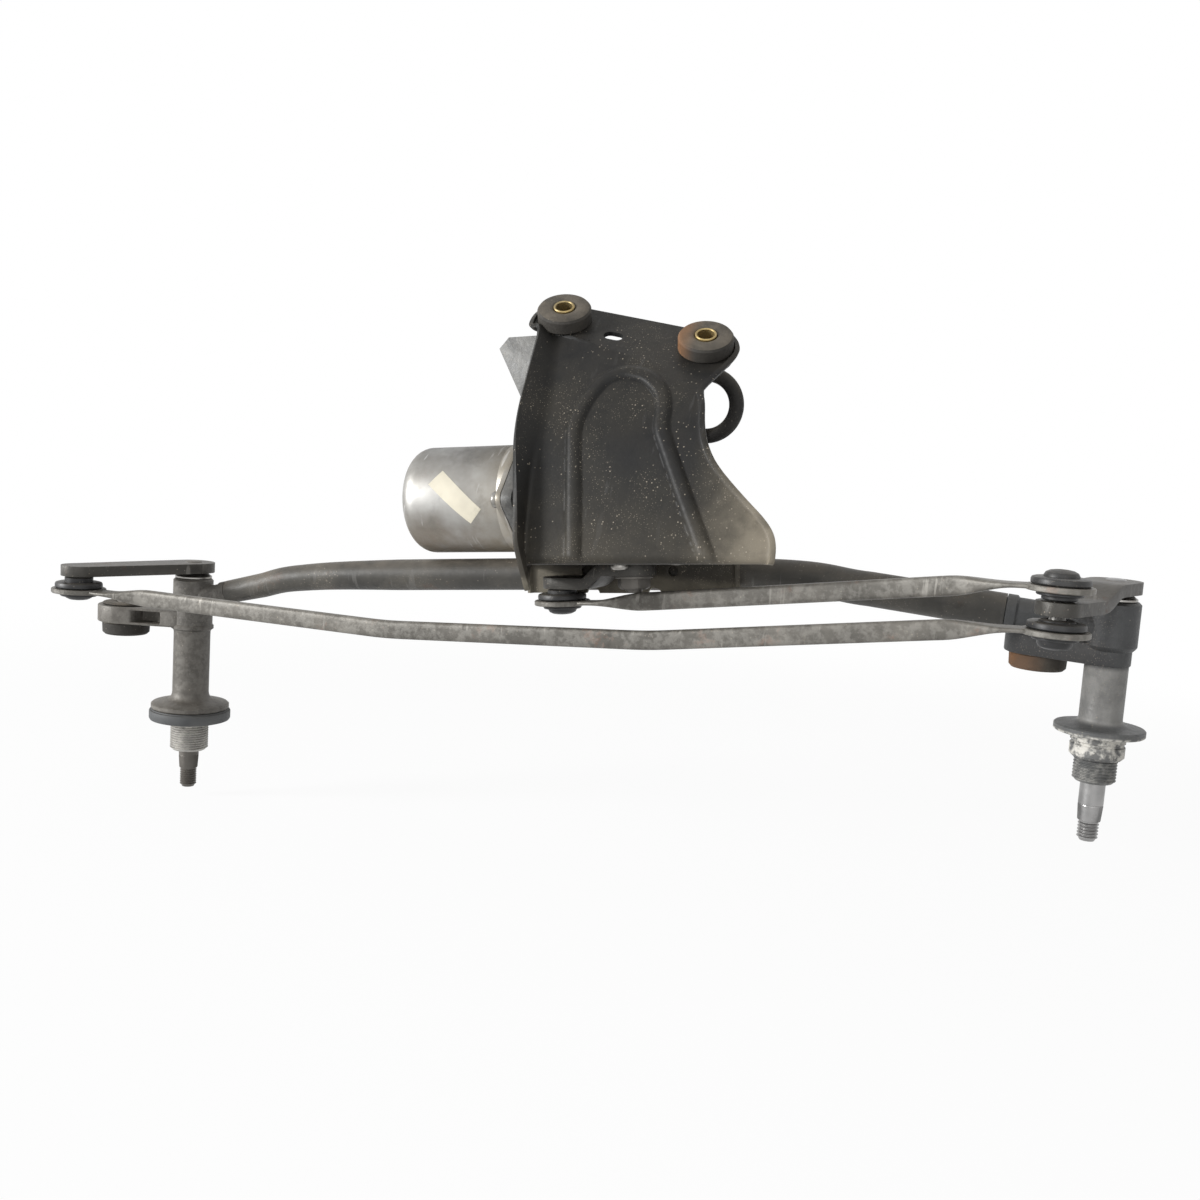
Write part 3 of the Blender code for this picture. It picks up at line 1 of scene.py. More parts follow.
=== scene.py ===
"""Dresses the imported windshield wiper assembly: worn metal, rubber and paint over the fixed frame.

Sizes and places are in millimetres until they go into a mesh, which is in metres.
"""

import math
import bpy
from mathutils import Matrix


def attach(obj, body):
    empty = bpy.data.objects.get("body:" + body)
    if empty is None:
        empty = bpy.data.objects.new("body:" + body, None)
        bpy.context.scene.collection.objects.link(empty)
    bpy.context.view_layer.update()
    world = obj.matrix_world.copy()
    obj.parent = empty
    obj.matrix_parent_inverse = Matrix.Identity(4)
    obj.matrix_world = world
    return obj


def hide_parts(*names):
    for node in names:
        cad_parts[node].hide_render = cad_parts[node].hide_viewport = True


bl_info = {
    "name": "Windshield wiper assembly",
    "version": (1, 0, 0),
    "blender": (4, 5, 0),
    "location": "3D View > Sidebar > Wiper",
    "description": "Builds the detailed pieces, finishes and stage of a wiper linkage",
    "category": "Object",
}

from functools import cached_property
from types import SimpleNamespace

import bpy
from bpy.props import FloatProperty, FloatVectorProperty, PointerProperty
from mathutils import Matrix, Vector

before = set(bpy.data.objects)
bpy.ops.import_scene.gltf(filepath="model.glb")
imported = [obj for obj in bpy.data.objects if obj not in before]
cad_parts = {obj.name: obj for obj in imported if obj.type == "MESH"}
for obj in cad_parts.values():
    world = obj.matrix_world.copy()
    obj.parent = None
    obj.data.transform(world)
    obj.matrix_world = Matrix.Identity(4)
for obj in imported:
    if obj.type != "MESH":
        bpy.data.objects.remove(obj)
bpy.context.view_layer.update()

MM = 0.001
MERGE = 2e-6  # metres
CLEAR = 0.3
BODY = Matrix.Rotation(math.radians(-5.5), 4, "Y")


def at(x, y, z):
    """Move from the origin to a place."""
    return Matrix.Translation((x, y, z))


# Places of the imported solids in the imported model's frame; the output shaft's is in the tilted body's frame
LEFT = Vector((-267.5, 0, 0))
RIGHT = Vector((263.5, 0, 0))
LEFT_BALL = Vector((-296, -68, 0))
RIGHT_BALL = Vector((238, -70, 0))
LEFT_EAR = Vector((-311, -8, -52.95))
RIGHT_EAR = Vector((231.5, 16, -13.25))
OUTPUT = Vector((29.5, -33, 0))
CAN_AXIS = BODY @ at(-41, 0, 43) @ Matrix.Rotation(-math.pi / 2, 4, "Y")

BUSH_HALF = 39.5  # from the middle of the top flange to each bush
BUSH_SEAT = 9.8  # radius of a hole that holds a bush
BEARING_BORE = 6.4
CAN_WALL = 1.6


def size(label, words, default):
    return FloatProperty(name=label, description=words, default=default * MM, unit="LENGTH", precision=5)


def colour(label, words, default):
    return FloatVectorProperty(name=label, description=words, default=default, subtype="COLOR", min=0, max=1)


class WiperSizes(bpy.types.PropertyGroup):
    """Sizes of the visible details."""

    spindle: size("Spindle radius", "Radius of the wiper spindles", 6)
    thread_pitch: size("Thread pitch", "Distance between the turns of the coarse threads", 1.5)
    thread_depth: size("Thread depth", "Depth of the threads", 0.8)
    sheet: size("Sheet thickness", "Thickness of the pressed bracket", 2.5)
    rib_height: size("Rib height", "How far the arch rib stands out of the plate", 2.2)
    rib_width: size("Rib width", "Width of the arch rib", 5.5)
    tube: size("Tube radius", "Outer radius of the frame tube", 9)
    tube_wall: size("Tube wall", "Wall of the frame tube", 1.5)
    link_height: size("Link height", "Height of the flattened link tubes", 9.5)
    link_width: size("Link width", "Width of the flattened link tubes", 6)
    lever: size("Lever thickness", "Thickness of the levers and the crank", 6)
    bush: size("Bush radius", "Radius of the rubber mounting bushes", 14.3)
    sleeve: size("Sleeve radius", "Outer radius of the bushes' steel sleeves", 5.6)
    bore: size("Sleeve bore", "Bore radius of the bushes' steel sleeves", 4.4)
    can: size("Can radius", "Radius of the motor can", 30)


class WiperColours(bpy.types.PropertyGroup):
    """Colours of the finishes, before wear and dust."""

    paint: colour("Black paint", "Satin paint of the bracket", (0.0095, 0.0097, 0.0102))
    tube: colour("Tube paint", "Dull paint of the frame tube", (0.036, 0.034, 0.03))
    dust: colour("Dust", "Road dust on upward faces", (0.17, 0.148, 0.118))
    link: colour("Link steel", "Dull plated steel of links and levers", (0.1, 0.094, 0.083))
    steel: colour("Bare steel", "Machined steel", (0.45, 0.44, 0.42))
    dark_cast: colour("Right casting", "Stained alloy of the right pivot", (0.062, 0.064, 0.065))
    light_cast: colour("Left casting", "Stained alloy of the left pivot", (0.115, 0.106, 0.093))
    alloy: colour("Case alloy", "Alloy of the gear case", (0.12, 0.12, 0.117))
    can: colour("Can plating", "Plated steel of the motor can", (0.46, 0.455, 0.44))
    rubber: colour("Rubber", "Black rubber", (0.018, 0.017, 0.016))
    plastic: colour("Plastic", "Black moulded plastic", (0.014, 0.014, 0.015))
    zinc: colour("Yellow zinc", "Passivated sleeves", (0.42, 0.31, 0.13))
    rust: colour("Rust", "Rust on bare steel", (0.16, 0.052, 0.016))
    salt: colour("White corrosion", "Salt on threads and collars", (0.62, 0.6, 0.55))
    label: colour("Label", "Blank paper label on the can", (0.72, 0.67, 0.54))


class WiperStage(bpy.types.PropertyGroup):
    """Floor, lamps and lens."""

    floor: colour("Floor", "Colour of the plain floor", (0.92, 0.92, 0.92))
    key: FloatProperty(name="Key lamp", description="Power of the lamp at the left", default=104.0, unit="POWER")
    fill: FloatProperty(name="Fill lamp", description="Power of the lamp in front", default=3.0, unit="POWER")
    sky: FloatProperty(name="Sky", description="Strength of the even light from all round", default=0.36)
    lens: FloatProperty(name="Lens", description="Focal length on a 36 mm sensor", default=39.0, unit="CAMERA")


def in_mm():
    """The sizes in millimetres."""
    group = bpy.context.scene.wiper_sizes
    return SimpleNamespace(**{key: getattr(group, key) / MM for key in group.__annotations__})


class Value:
    """A shader socket that takes part in Python arithmetic."""

    def __init__(self, paint, socket):
        self.paint = paint
        self.socket = socket

    def math(self, operation, first, second):
        return self.paint.node("ShaderNodeMath", {"operation": operation}, {0: first, 1: second})

    def __add__(self, other):
        return self.math("ADD", self, other)

    def __sub__(self, other):
        return self.math("SUBTRACT", self, other)

    def __rsub__(self, other):
        return self.math("SUBTRACT", other, self)

    def __mul__(self, other):
        return self.math("MULTIPLY", self, other)

    __radd__ = __add__
    __rmul__ = __mul__

    def step(self, low, high):
        """0 below low, 1 above high, smooth between."""
        settings = {"interpolation_type": "SMOOTHSTEP", "clamp": True}
        return self.paint.node("ShaderNodeMapRange", settings, {0: self, 1: low, 2: high})


class Paint:
    """Nodes of one material or of the world."""

    def __init__(self, owner):
        owner.use_nodes = True
        self.tree = owner.node_tree

    @cached_property
    def place(self):
        return self.node("ShaderNodeTexCoord", {}, {}, "Object")

    def node(self, kind, settings, inputs, out=0):
        made = self.tree.nodes.new(kind)
        for key, value in settings.items():
            setattr(made, key, value)
        for key, value in inputs.items():
            self.feed(made.inputs[key], value)
        return Value(self, made.outputs[out])

    def feed(self, socket, value):
        if isinstance(value, Value):
            self.tree.links.new(value.socket, socket)
        elif socket.type == "RGBA":
            socket.default_value = (*value[:3], 1.0)
        else:
            socket.default_value = value

    def put(self, name, **inputs):
        """Sets or links sockets of a node that the tree starts with."""
        for key, value in inputs.items():
            self.feed(self.tree.nodes[name].inputs[key.replace("_", " ")], value)

    def noise(self, scale, detail=4.0, stretch=None):
        place = self.place
        if stretch:
            place = self.node("ShaderNodeMapping", {}, {"Vector": place, "Scale": stretch})
        inputs = {"Vector": place, "Scale": scale, "Detail": detail, "Roughness": 0.62}
        return self.node("ShaderNodeTexNoise", {}, inputs)

    def cells(self, scale):
        return self.node("ShaderNodeTexVoronoi", {}, {"Vector": self.place, "Scale": scale})

    def mix(self, first, second, share):
        inputs = {0: share, 6: first, 7: second}
        return self.node("ShaderNodeMix", {"data_type": "RGBA"}, inputs, 2)

    def along(self, axis):
        """Place of the point along X, Y or Z, in metres."""
        return self.node("ShaderNodeSeparateXYZ", {}, {0: self.place}, axis)

    def facing(self, axis):
        """How far the surface faces along X, Y or Z."""
        normal = self.node("ShaderNodeNewGeometry", {}, {}, "Normal")
        return self.node("ShaderNodeSeparateXYZ", {}, {0: normal}, axis)

    def bump(self, height, depth):
        return self.node("ShaderNodeBump", {}, {"Height": height, "Strength": 1.0, "Distance": depth})

    def looked_at(self):
        """1 for what the camera sees, also in metal and glass, and 0 for what lights the object."""
        camera, glossy, transmission = (
            self.node("ShaderNodeLightPath", {}, {}, "Is " + ray + " Ray")
            for ray in ("Camera", "Glossy", "Transmission")
        )
        return camera + glossy + transmission


FINISHES = {}


def worn(
    name, base, second, rough, metal=0.0, dust=0.0, rust=0.0, salt=0.0, specks=0.0, scratch=0.0,
    bump=0.15, shine=0.5, grime_and_painted_light=(), salted=(), bare=(),
):
    """Aged surface: blotches, dust on top, specks, scratches, rust and white corrosion.

    Bands of grime and painted light (axis, low, high, colour, share) fade in from low to high along an axis: dirt
    and stains, painted shade, and dust with painted light; salted (low, high, share) and bare (low, high) are bands
    of white crust and bright metal between two heights.
    """
    tints = bpy.context.scene.wiper_colours
    material = bpy.data.materials.new(name)
    paint = Paint(material)
    blotches = paint.noise(22)
    patches = paint.noise(70, 6)
    grain = paint.noise(420, 5)
    gloss = grain * 0.25 + patches * 0.15 + (rough - 0.2)
    gleam = metal

    def band(low, high):
        height = paint.along("Z")
        low, high, soft = low * MM, high * MM, 0.7 * MM
        return height.step(low - soft, low + soft) * (1 - height.step(high - soft, high + soft))

    skin = paint.mix(base, second, blotches.step(0.35, 0.68))
    skin = paint.mix(skin, [c * 0.4 for c in base], patches.step(0.52, 0.75) * 0.6)
    for low, high in bare:
        bright = band(low, high)
        skin = paint.mix(skin, tints.steel, bright * 0.75)
        gleam = gleam + bright * (0.9 - metal)
    if scratch:
        marks = paint.noise(260, 2, (1.0, 0.12, 0.12)).step(0.62, 0.67) * paint.noise(35).step(0.45, 0.6)
        skin = paint.mix(skin, [min(1, c * 2.2 + 0.05) for c in base], marks * scratch)
    cover = 0
    if dust:
        cover = paint.facing("Z").step(0.05, 0.9) * patches.step(0.2, 0.7) * dust
        cover = cover + blotches.step(0.5, 0.8) * patches.step(0.3, 0.6) * (0.45 * dust)
        skin = paint.mix(skin, tints.dust, cover)
    # Bands of grime, stains, painted shade and painted highlight, as listed with each finish
    for axis, low, high, tint, share in grime_and_painted_light:
        uneven = patches.step(0.3, 0.62) * 0.45 + 0.55
        stain_and_painted_light = paint.along(axis).step(low * MM, high * MM) * uneven * share
        skin = paint.mix(skin, tint, stain_and_painted_light)
        cover = cover + stain_and_painted_light * 0.6
    covers = [cover]
    if specks:
        dots = (1 - paint.cells(420).step(0.08, 0.2)) * paint.noise(55).step(0.46, 0.6)
        dots = dots + (1 - paint.cells(900).step(0.1, 0.24)) * blotches.step(0.45, 0.65) * 0.8
        skin = paint.mix(skin, [c * 2.0 for c in tints.dust], dots * specks)
    if rust:
        spots = (paint.noise(45, 6) * 0.7 + grain * 0.3).step(0.56, 0.64) * rust
        skin = paint.mix(skin, tints.rust, spots)
        gloss = gloss + spots * 0.3
        covers.append(spots)
    if salt or salted:
        amount = salt
        for low, high, share in salted:
            amount = amount + band(low, high) * share
        crust = (paint.noise(150, 6) * 0.6 + grain * 0.4).step(0.44, 0.58) * amount
        skin = paint.mix(skin, tints.salt, crust)
        gloss = gloss + crust * 0.3
        covers.append(crust)
    if metal or bare:
        for cover in covers:
            gleam = gleam * (1 - cover)
        paint.put("Principled BSDF", Metallic=gleam)
    relief = paint.bump(grain + patches, bump * MM)
    paint.put("Principled BSDF", Base_Color=skin, Roughness=gloss, Normal=relief, Specular_IOR_Level=shine)
    FINISHES[name] = material


def make_finishes():
    """Every finish of the object, by name."""
    tints = bpy.context.scene.wiper_colours
    worn(
        "black_sheet", tints.paint, (0.017, 0.0165, 0.0145), 0.5, dust=0.13, specks=0.8, scratch=0.25, bump=0.1,
        shine=0.2, grime_and_painted_light=(
            ("Z", 62, 8, (0.075, 0.066, 0.05), 0.5),
            # Lighter towards the right edge: dust, and a painted highlight where the right lip catches the light
            ("X", 64, 108, (0.25, 0.22, 0.17), 0.8),
            # Lighter at the bottom skirt: dust, and painted light on the recessed skirt that sits in the plate's
            # shade
            ("Z", 6, 1, (0.2, 0.18, 0.14), 0.7),
        ),
    )
    worn(
        "dusty_tube", tints.tube, (0.075, 0.07, 0.06), 0.5, dust=0.6, rust=0.12, specks=0.6, scratch=0.5,
        shine=0.4,
    )
    worn(
        "link_steel", tints.link, [c * 1.7 for c in tints.link], 0.46, 0.4, dust=0.3, rust=0.3, salt=0.14,
        specks=0.5, scratch=0.8,
    )
    worn(
        "lever_steel", [c * 0.6 for c in tints.link], (0.045, 0.043, 0.039), 0.46, 0.45, dust=0.3, rust=0.15,
        specks=0.6, scratch=0.7,
    )
    worn("bare_steel", tints.steel, (0.25, 0.24, 0.22), 0.36, 1.0, rust=0.12, scratch=0.3, bump=0.05)
    worn("polished_steel", (0.36, 0.355, 0.35), (0.2, 0.2, 0.2), 0.36, 1.0, scratch=0.3, bump=0.02)
    worn("dull_steel", (0.16, 0.15, 0.135), (0.09, 0.083, 0.075), 0.48, 0.6, dust=0.2, rust=0.25, bump=0.1)
    worn(
        "dark_cast", tints.dark_cast, (0.034, 0.034, 0.035), 0.5, 0.3, dust=0.2, specks=0.5, bump=0.3,
        salted=((-65, -51.5, 0.95), (-77, -65, 0.25)), bare=((-77, -52),), grime_and_painted_light=(
            ("Z", -18, -21, (0.29, 0.285, 0.27), 0.75),
            ("Z", -46, -48, (0.05, 0.053, 0.055), 0.85),
        ),
    )
    worn(
        "light_cast", tints.light_cast, (0.06, 0.056, 0.05), 0.53, 0.3, dust=0.3, salt=0.08, specks=0.6, bump=0.3,
        salted=((-121, -115, 0.9), (-137, -121, 0.25)), bare=((-137, -115),),
    )
    worn(
        "case_alloy", tints.alloy, (0.085, 0.085, 0.082), 0.55, 0.45, dust=0.2, salt=0.08, specks=0.3, bump=0.25
    )
    worn(
        "can_steel", tints.can, (0.27, 0.26, 0.24), 0.45, 0.8, dust=0.12, rust=0.08, specks=0.3, scratch=0.7,
        bump=0.05, grime_and_painted_light=(
            ("Z", 36, 6, (0.15, 0.115, 0.075), 0.75),
            # Darker over the top of the can: painted shade
            ("Z", 50, 68, (0.035, 0.033, 0.03), 0.7),
            ("X", -78, -46, (0.27, 0.225, 0.15), 0.5),
        ),
    )
    worn("yellow_zinc", tints.zinc, (0.3, 0.25, 0.15), 0.4, 0.8, rust=0.2, bump=0.05)
    worn("rubber", tints.rubber, (0.05, 0.047, 0.042), 0.7, dust=0.4, specks=0.3, bump=0.2, shine=0.3)
    old, pale = (0.036, 0.033, 0.029), (0.06, 0.054, 0.046)
    worn("worn_rubber", old, pale, 0.7, dust=0.9, rust=0.1, specks=0.5, bump=0.25, shine=0.3)
    for name, rusty, clean in (("rusty_bush", 42, 54), ("rusty_ear", 222, 238)):
        side = (("X", clean, rusty, (0.23, 0.11, 0.045), 0.8),)
        worn(name, old, pale, 0.7, dust=1.0, rust=0.3, bump=0.25, shine=0.3, grime_and_painted_light=side)
    worn("grey_rubber", (0.075, 0.078, 0.08), (0.11, 0.112, 0.112), 0.6, dust=0.2, bump=0.1, shine=0.3)
    worn("black_plastic", tints.plastic, (0.03, 0.03, 0.03), 0.45, dust=0.3, specks=0.5, bump=0.05, shine=0.4)
    worn("bronze", (0.4, 0.26, 0.12), (0.28, 0.18, 0.09), 0.45, 0.9, bump=0.05)
    worn("magnet", (0.03, 0.03, 0.033), (0.05, 0.05, 0.05), 0.6, 0.1, bump=0.1)
    worn("copper", (0.55, 0.26, 0.13), (0.4, 0.19, 0.1), 0.35, 1.0, bump=0.05)
    worn("board", (0.02, 0.12, 0.05), (0.015, 0.09, 0.04), 0.45, bump=0.03)
    worn("gear_plastic", (0.7, 0.67, 0.58), (0.6, 0.57, 0.48), 0.45, bump=0.03)
    worn("label", tints.label, [c * 0.8 for c in tints.label], 0.6, dust=0.15, scratch=0.3, bump=0.04)


def activate(*pieces):
    """Selects these pieces alone, the last one active."""
    bpy.ops.object.select_all(action="DESELECT")
    for piece in pieces:
        piece.select_set(True)
    bpy.context.view_layer.objects.active = pieces[-1]


def start(name, primitive, **settings):
    """Adds a primitive by itself, as the start of a piece."""
    bpy.ops.object.select_all(action="DESELECT")
    primitive(**settings)
    piece = bpy.context.object
    piece.name = name
    return piece


def edit(piece):
    activate(piece)
    bpy.ops.object.mode_set(mode="EDIT")
    bpy.ops.mesh.select_mode(type="VERT")
    bpy.ops.mesh.select_all(action="SELECT")


def close_edit():
    """Merges doubles, turns the faces outwards and leaves edit mode."""
    bpy.ops.mesh.select_all(action="SELECT")
    bpy.ops.mesh.remove_doubles(threshold=MERGE)
    bpy.ops.mesh.normals_make_consistent(inside=False)
    bpy.ops.object.mode_set(mode="OBJECT")


def moved(piece, place):
    """Moves a mesh to its place."""
    place = place.copy()
    place.translation *= MM
    piece.data.transform(place)
    return piece


def smooth(piece, angle):
    """Shades the faces smooth, apart from edges sharper than the angle."""
    activate(piece)
    bpy.ops.object.shade_smooth_by_angle(angle=math.radians(angle))
    return piece


def shaped(piece, kind, **settings):
    """Adds a modifier and applies it."""
    modifier = piece.modifiers.new(kind.title(), kind)
    for key, value in settings.items():
        setattr(modifier, key, value)
    activate(piece)
    bpy.ops.object.modifier_apply(modifier=modifier.name)
    return piece


def walled(piece, thickness, offset):
    """Gives a sheet its thickness."""
    return shaped(piece, "SOLIDIFY", thickness=thickness * MM, offset=offset)


def eased(piece, width=0.5, angle=35):
    """Rounds the edges and shades the faces smooth."""
    limit = math.radians(angle)
    shaped(piece, "BEVEL", width=width * MM, segments=2, limit_method="ANGLE", angle_limit=limit)
    return smooth(piece, angle)


def joined(*pieces):
    """Joins the later pieces to the first."""
    activate(*pieces[1:], pieces[0])
    bpy.ops.object.join()
    return pieces[0]


def cut(piece, cutter, operation="DIFFERENCE"):
    """Cuts a shape out of a piece, or all that lies outside it."""
    shaped(piece, "BOOLEAN", operation=operation, solver="EXACT", object=cutter)
    bpy.data.objects.remove(cutter)
    return piece


def dress(piece, finish, body, slot, *nodes):
    """Gives a piece its finish and body, and hides the solids that it stands for."""
    piece.data.materials.clear()
    piece.data.materials.append(FINISHES[finish])
    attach(piece, body)
    if nodes:
        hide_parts(*nodes)


def turned(name, profile, place=Matrix(), steps=56):
    """Profile of (radius, height) points, extruded corner by corner and spun about Z."""
    profile = [(radius * MM, height * MM) for radius, height in profile]
    piece = start(name, bpy.ops.mesh.primitive_plane_add, size=MM)
    edit(piece)
    bpy.ops.mesh.merge(type="CENTER")
    bpy.ops.transform.translate(value=(profile[0][0], 0, profile[0][1]))
    for (r0, z0), (r1, z1) in zip(profile, profile[1:]):
        bpy.ops.mesh.extrude_vertices_move(TRANSFORM_OT_translate={"value": (r1 - r0, 0, z1 - z0)})
    bpy.ops.mesh.select_all(action="SELECT")
    bpy.ops.mesh.spin(steps=steps, angle=2 * math.pi, center=(0, 0, 0), axis=(0, 0, 1))
    close_edit()
    return smooth(moved(piece, place), 32)


def plate(name, outline, low, high, place=Matrix()):
    """Flat outline extruded from one height to another."""
    piece = start(name, bpy.ops.mesh.primitive_circle_add, vertices=len(outline), fill_type="NGON")
    for vertex, (x, y) in zip(piece.data.vertices, outline):
        vertex.co = (x * MM, y * MM, low * MM)
    edit(piece)
    bpy.ops.mesh.extrude_region_move(TRANSFORM_OT_translate={"value": (0, 0, (high - low) * MM)})
    close_edit()
    return moved(piece, place)


def block(name, wide, deep, high):
    """Cube stretched to a width, depth and height."""
    piece = start(name, bpy.ops.mesh.primitive_cube_add, size=1)
    piece.data.transform(Matrix.Diagonal((wide * MM, deep * MM, high * MM, 1)))
    return piece


def sheet(name, across, along, point):
    """Grid whose corners go where point(u, v) says, with u and v from 0 to 1."""
    piece = start(name, bpy.ops.mesh.primitive_grid_add, x_subdivisions=across, y_subdivisions=along, size=2)
    for vertex in piece.data.vertices:
        u, v = (vertex.co.x + 1) / 2, (vertex.co.y + 1) / 2
        vertex.co = [length * MM for length in point(u, v)]
    return piece


def bar(name, path, sections, closed=True, level=(0, 0, 1)):
    """Sections of (side, up) points carried along a path, closed at both ends or left open."""
    sides = len(sections[0])
    frames = []
    for i in range(len(path)):
        ahead = (path[min(i + 1, len(path) - 1)] - path[max(i - 1, 0)]).normalized()
        side = ahead.cross(Vector(level)).normalized()
        frames.append((side, side.cross(ahead)))

    def point(u, v):
        i = round(v * (len(path) - 1))
        a, b = sections[i][round(u * sides) % sides]
        return path[i] + frames[i][0] * a + frames[i][1] * b

    piece = sheet(name, sides, len(path) - 1, point)
    edit(piece)
    bpy.ops.mesh.remove_doubles(threshold=MERGE)
    if closed:
        bpy.ops.mesh.fill_holes(sides=0)
    close_edit()
    return smooth(piece, 50)


def ring(radius, sides=48, x=0.0, y=0.0):
    turn = 2 * math.pi / sides
    return [(x + radius * math.cos(turn * i), y + radius * math.sin(turn * i)) for i in range(sides)]


def hull(points):
    """Convex outline round the points, counter-clockwise."""
    points = sorted(set(points))

    def chain(run):
        kept = []
        for p in run:
            while len(kept) > 1:
                (ax, ay), (bx, by) = kept[-2:]
                if (bx - ax) * (p[1] - ay) - (by - ay) * (p[0] - ax) > 1e-6:
                    break
                kept.pop()
            kept.append(p)
        return kept[:-1]

    return chain(points) + chain(reversed(points))


def curve_through(points, steps):
    """Smooth curve through the points."""
    ends = [points[0] * 2 - points[1], *points, points[-1] * 2 - points[-2]]
    found = []
    for a, b, c, d in zip(ends, ends[1:], ends[2:], ends[3:]):
        for i in range(steps):
            t = i / steps
            bend = (a * 2 - b * 5 + c * 4 - d) * t**2 + (b * 3 - a - c * 3 + d) * t**3
            found.append((b * 2 + (c - a) * t + bend) / 2)
    return found + [points[-1]]


def rounded(points, radii, steps):
    """Path through the points with its corners rounded."""
    found = [points[0]]
    for before, corner, after, radius in zip(points, points[1:], points[2:], radii):
        first = corner + (before - corner).normalized() * min(radius, (before - corner).length * 0.48)
        last = corner + (after - corner).normalized() * min(radius, (after - corner).length * 0.48)
        for i in range(steps + 1):
            t = i / steps
            found.append(first.lerp(corner, t).lerp(corner.lerp(last, t), t))
    return found + [points[-1]]


def fine(path, step):
    """The path with points no further apart than step."""
    found = [path[0]]
    for a, b in zip(path, path[1:]):
        count = max(1, math.ceil((b - a).length / step))
        found += [a.lerp(b, (i + 1) / count) for i in range(count)]
    return found


def ease(t):
    """Smooth rise from 0 to 1."""
    t = min(1.0, max(0.0, t))
    return t * t * (3 - 2 * t)


def pillow(width, height, sides=24):
    """Rounded rectangle as (side, up) points."""

    def swollen(part, reach):
        return reach / 2 * math.copysign(math.sqrt(abs(part)), part)

    turns = [2 * math.pi * (i + 0.5) / sides for i in range(sides)]
    return [(swollen(math.cos(t), width), swollen(math.sin(t), height)) for t in turns]


def thread(radius, high, low):
    """Profile of a thread from high to low."""
    sizes = in_mm()
    root = radius - sizes.thread_depth
    count = max(2, round((high - low) / sizes.thread_pitch))
    pitch = (high - low) / count
    found = []
    for i in range(count):
        top = high - pitch * i
        found += [(root, top), (root, top - pitch * 0.15), (radius, top - pitch * 0.5), (radius, top - pitch * 0.65)]
    return found + [(root, low)]


def fillet(r0, z0, r1, z1, steps=6):
    """Quarter-round from a vertical wall at r0 to a flat at z1."""
    turns = [math.pi / 2 * i / steps for i in range(steps + 1)]
    return [(r1 - (r1 - r0) * math.cos(t), z0 + (z1 - z0) * math.sin(t)) for t in turns]


TUBE_KNOTS = ((-243, -10.5), (-193, -2), (-125, 0), (102, 0), (213, -18))
TUBE_CRIMP, CRIMP_LENGTH = 2, 118
TUBE_DENTS = ((-232, -60, 1.0), (186, -70, 0.9), (200, -70, 0.9))
DENT_RADIUS = 2.4


def tube_route():
    """Middle line of the frame tube in the body frame."""
    left, knee, bend, right, tip = (Vector((x, 0, z)) for x, z in TUBE_KNOTS)
    middle = [left.lerp(knee, 0.45), knee, bend, right.lerp(bend, 0.08), tip.lerp(right, 0.6)]
    return fine([left, *curve_through(middle, 16), tip], 3)


class WIPER_OT_tube(bpy.types.Operator):
    """Frame tube with a crimped left end, open mouths and the punch marks that hold its spigots."""

    bl_idname = "wiper.tube"
    bl_label = "Frame tube"

    def execute(self, context):
        sizes = in_mm()
        path = tube_route()
        open_shares = [min(1.0, (point.x - path[0].x) / CRIMP_LENGTH) for point in path]
        sections = [ring(sizes.tube - TUBE_CRIMP * (1 - share), 40) for share in open_shares]
        tube = bar("tube_pipe", path, sections, closed=False)
        for x, turn, depth in TUBE_DENTS:
            near = min(path, key=lambda point: abs(point.x - x))
            way = Vector((0, math.sin(math.radians(turn)), math.cos(math.radians(turn))))
            spot = near + way * sizes.tube
            for vertex in tube.data.vertices:
                gap = (vertex.co / MM - spot).length / DENT_RADIUS
                if gap < 3:
                    vertex.co -= way * depth * MM * math.exp(-gap * gap)
        walled(tube, sizes.tube_wall, -1)
        smooth(moved(tube, BODY), 40)
        dress(tube, "dusty_tube", "frame", "dusty_tube", "frame_tube")
        return {"FINISHED"}


def spigot(name, end, toward, spindle, radius, collar):
    """Round neck of a casting that enters the tube, with a shoulder at the tube's mouth."""
    along = (toward - end).normalized()
    root = end + along * ((spindle.x - end.x) / along.x)
    length = (end - root).length
    place = at(*root) @ along.to_track_quat("Z", "Y").to_matrix().to_4x4()
    profile = [(0, 0), (collar + 1.5, 0), (collar + 1.2, length * 0.45), (radius + 0.8, length * 0.6)]
    profile += [(radius + 0.8, length - 6), (collar, length - 5), (collar, length - 0.4)]
    profile += [(radius, length - 0.2), (radius, length + 15), (0, length + 15)]
    return turned(name, profile, place, 40)


def ear(name, spindle, centre, root_radius):
    """Flat arm of a casting round its bush; a front one has a pocket."""
    half, pocket_half, rim = 5.25, 3.7, 17
    outline = hull(ring(root_radius, 48, spindle.x) + ring(rim, 48, centre.x, centre.y))
    arm = plate(name, outline, centre.z - half, centre.z + half)
    if centre.y < 0:
        near, far, deep = spindle.x - 13, centre.x + 13.5, centre.y - 1
        pocket = [(far, -60), (near, -60), (near, deep), (far, deep)]
        cut(arm, plate("pocket", pocket, centre.z - pocket_half, centre.z + pocket_half))
    hole = plate("hole", ring(BUSH_SEAT), -20, 20, at(*centre))
    return eased(cut(arm, hole), 0.8, 40)


def left_housing():
    """Profile of the left casting, from its sleeve's top down to its threaded end."""
    top, step, disc, thread_top, end = -27.7, -59.2, -102.2, -109.7, -136.2
    outer = [(BEARING_BORE, top), (10.8, top), (12, top - 1.2), (12, step + 3), (12.8, step + 2)]
    outer += [(12.8, step + 0.3), (11.4, step - 0.7), (11, step - 2), *fillet(11, disc + 3, 15, disc - 2.2)]
    outer += [(22.6, disc - 3.9), (23.5, disc - 4.7), (23.5, thread_top + 0.8), (22.8, thread_top)]
    outer += [(11.2, thread_top), *thread(11.5, thread_top - 0.4, end + 1)]
    return outer + [(9.8, end), (BEARING_BORE, end), (BEARING_BORE, top)]


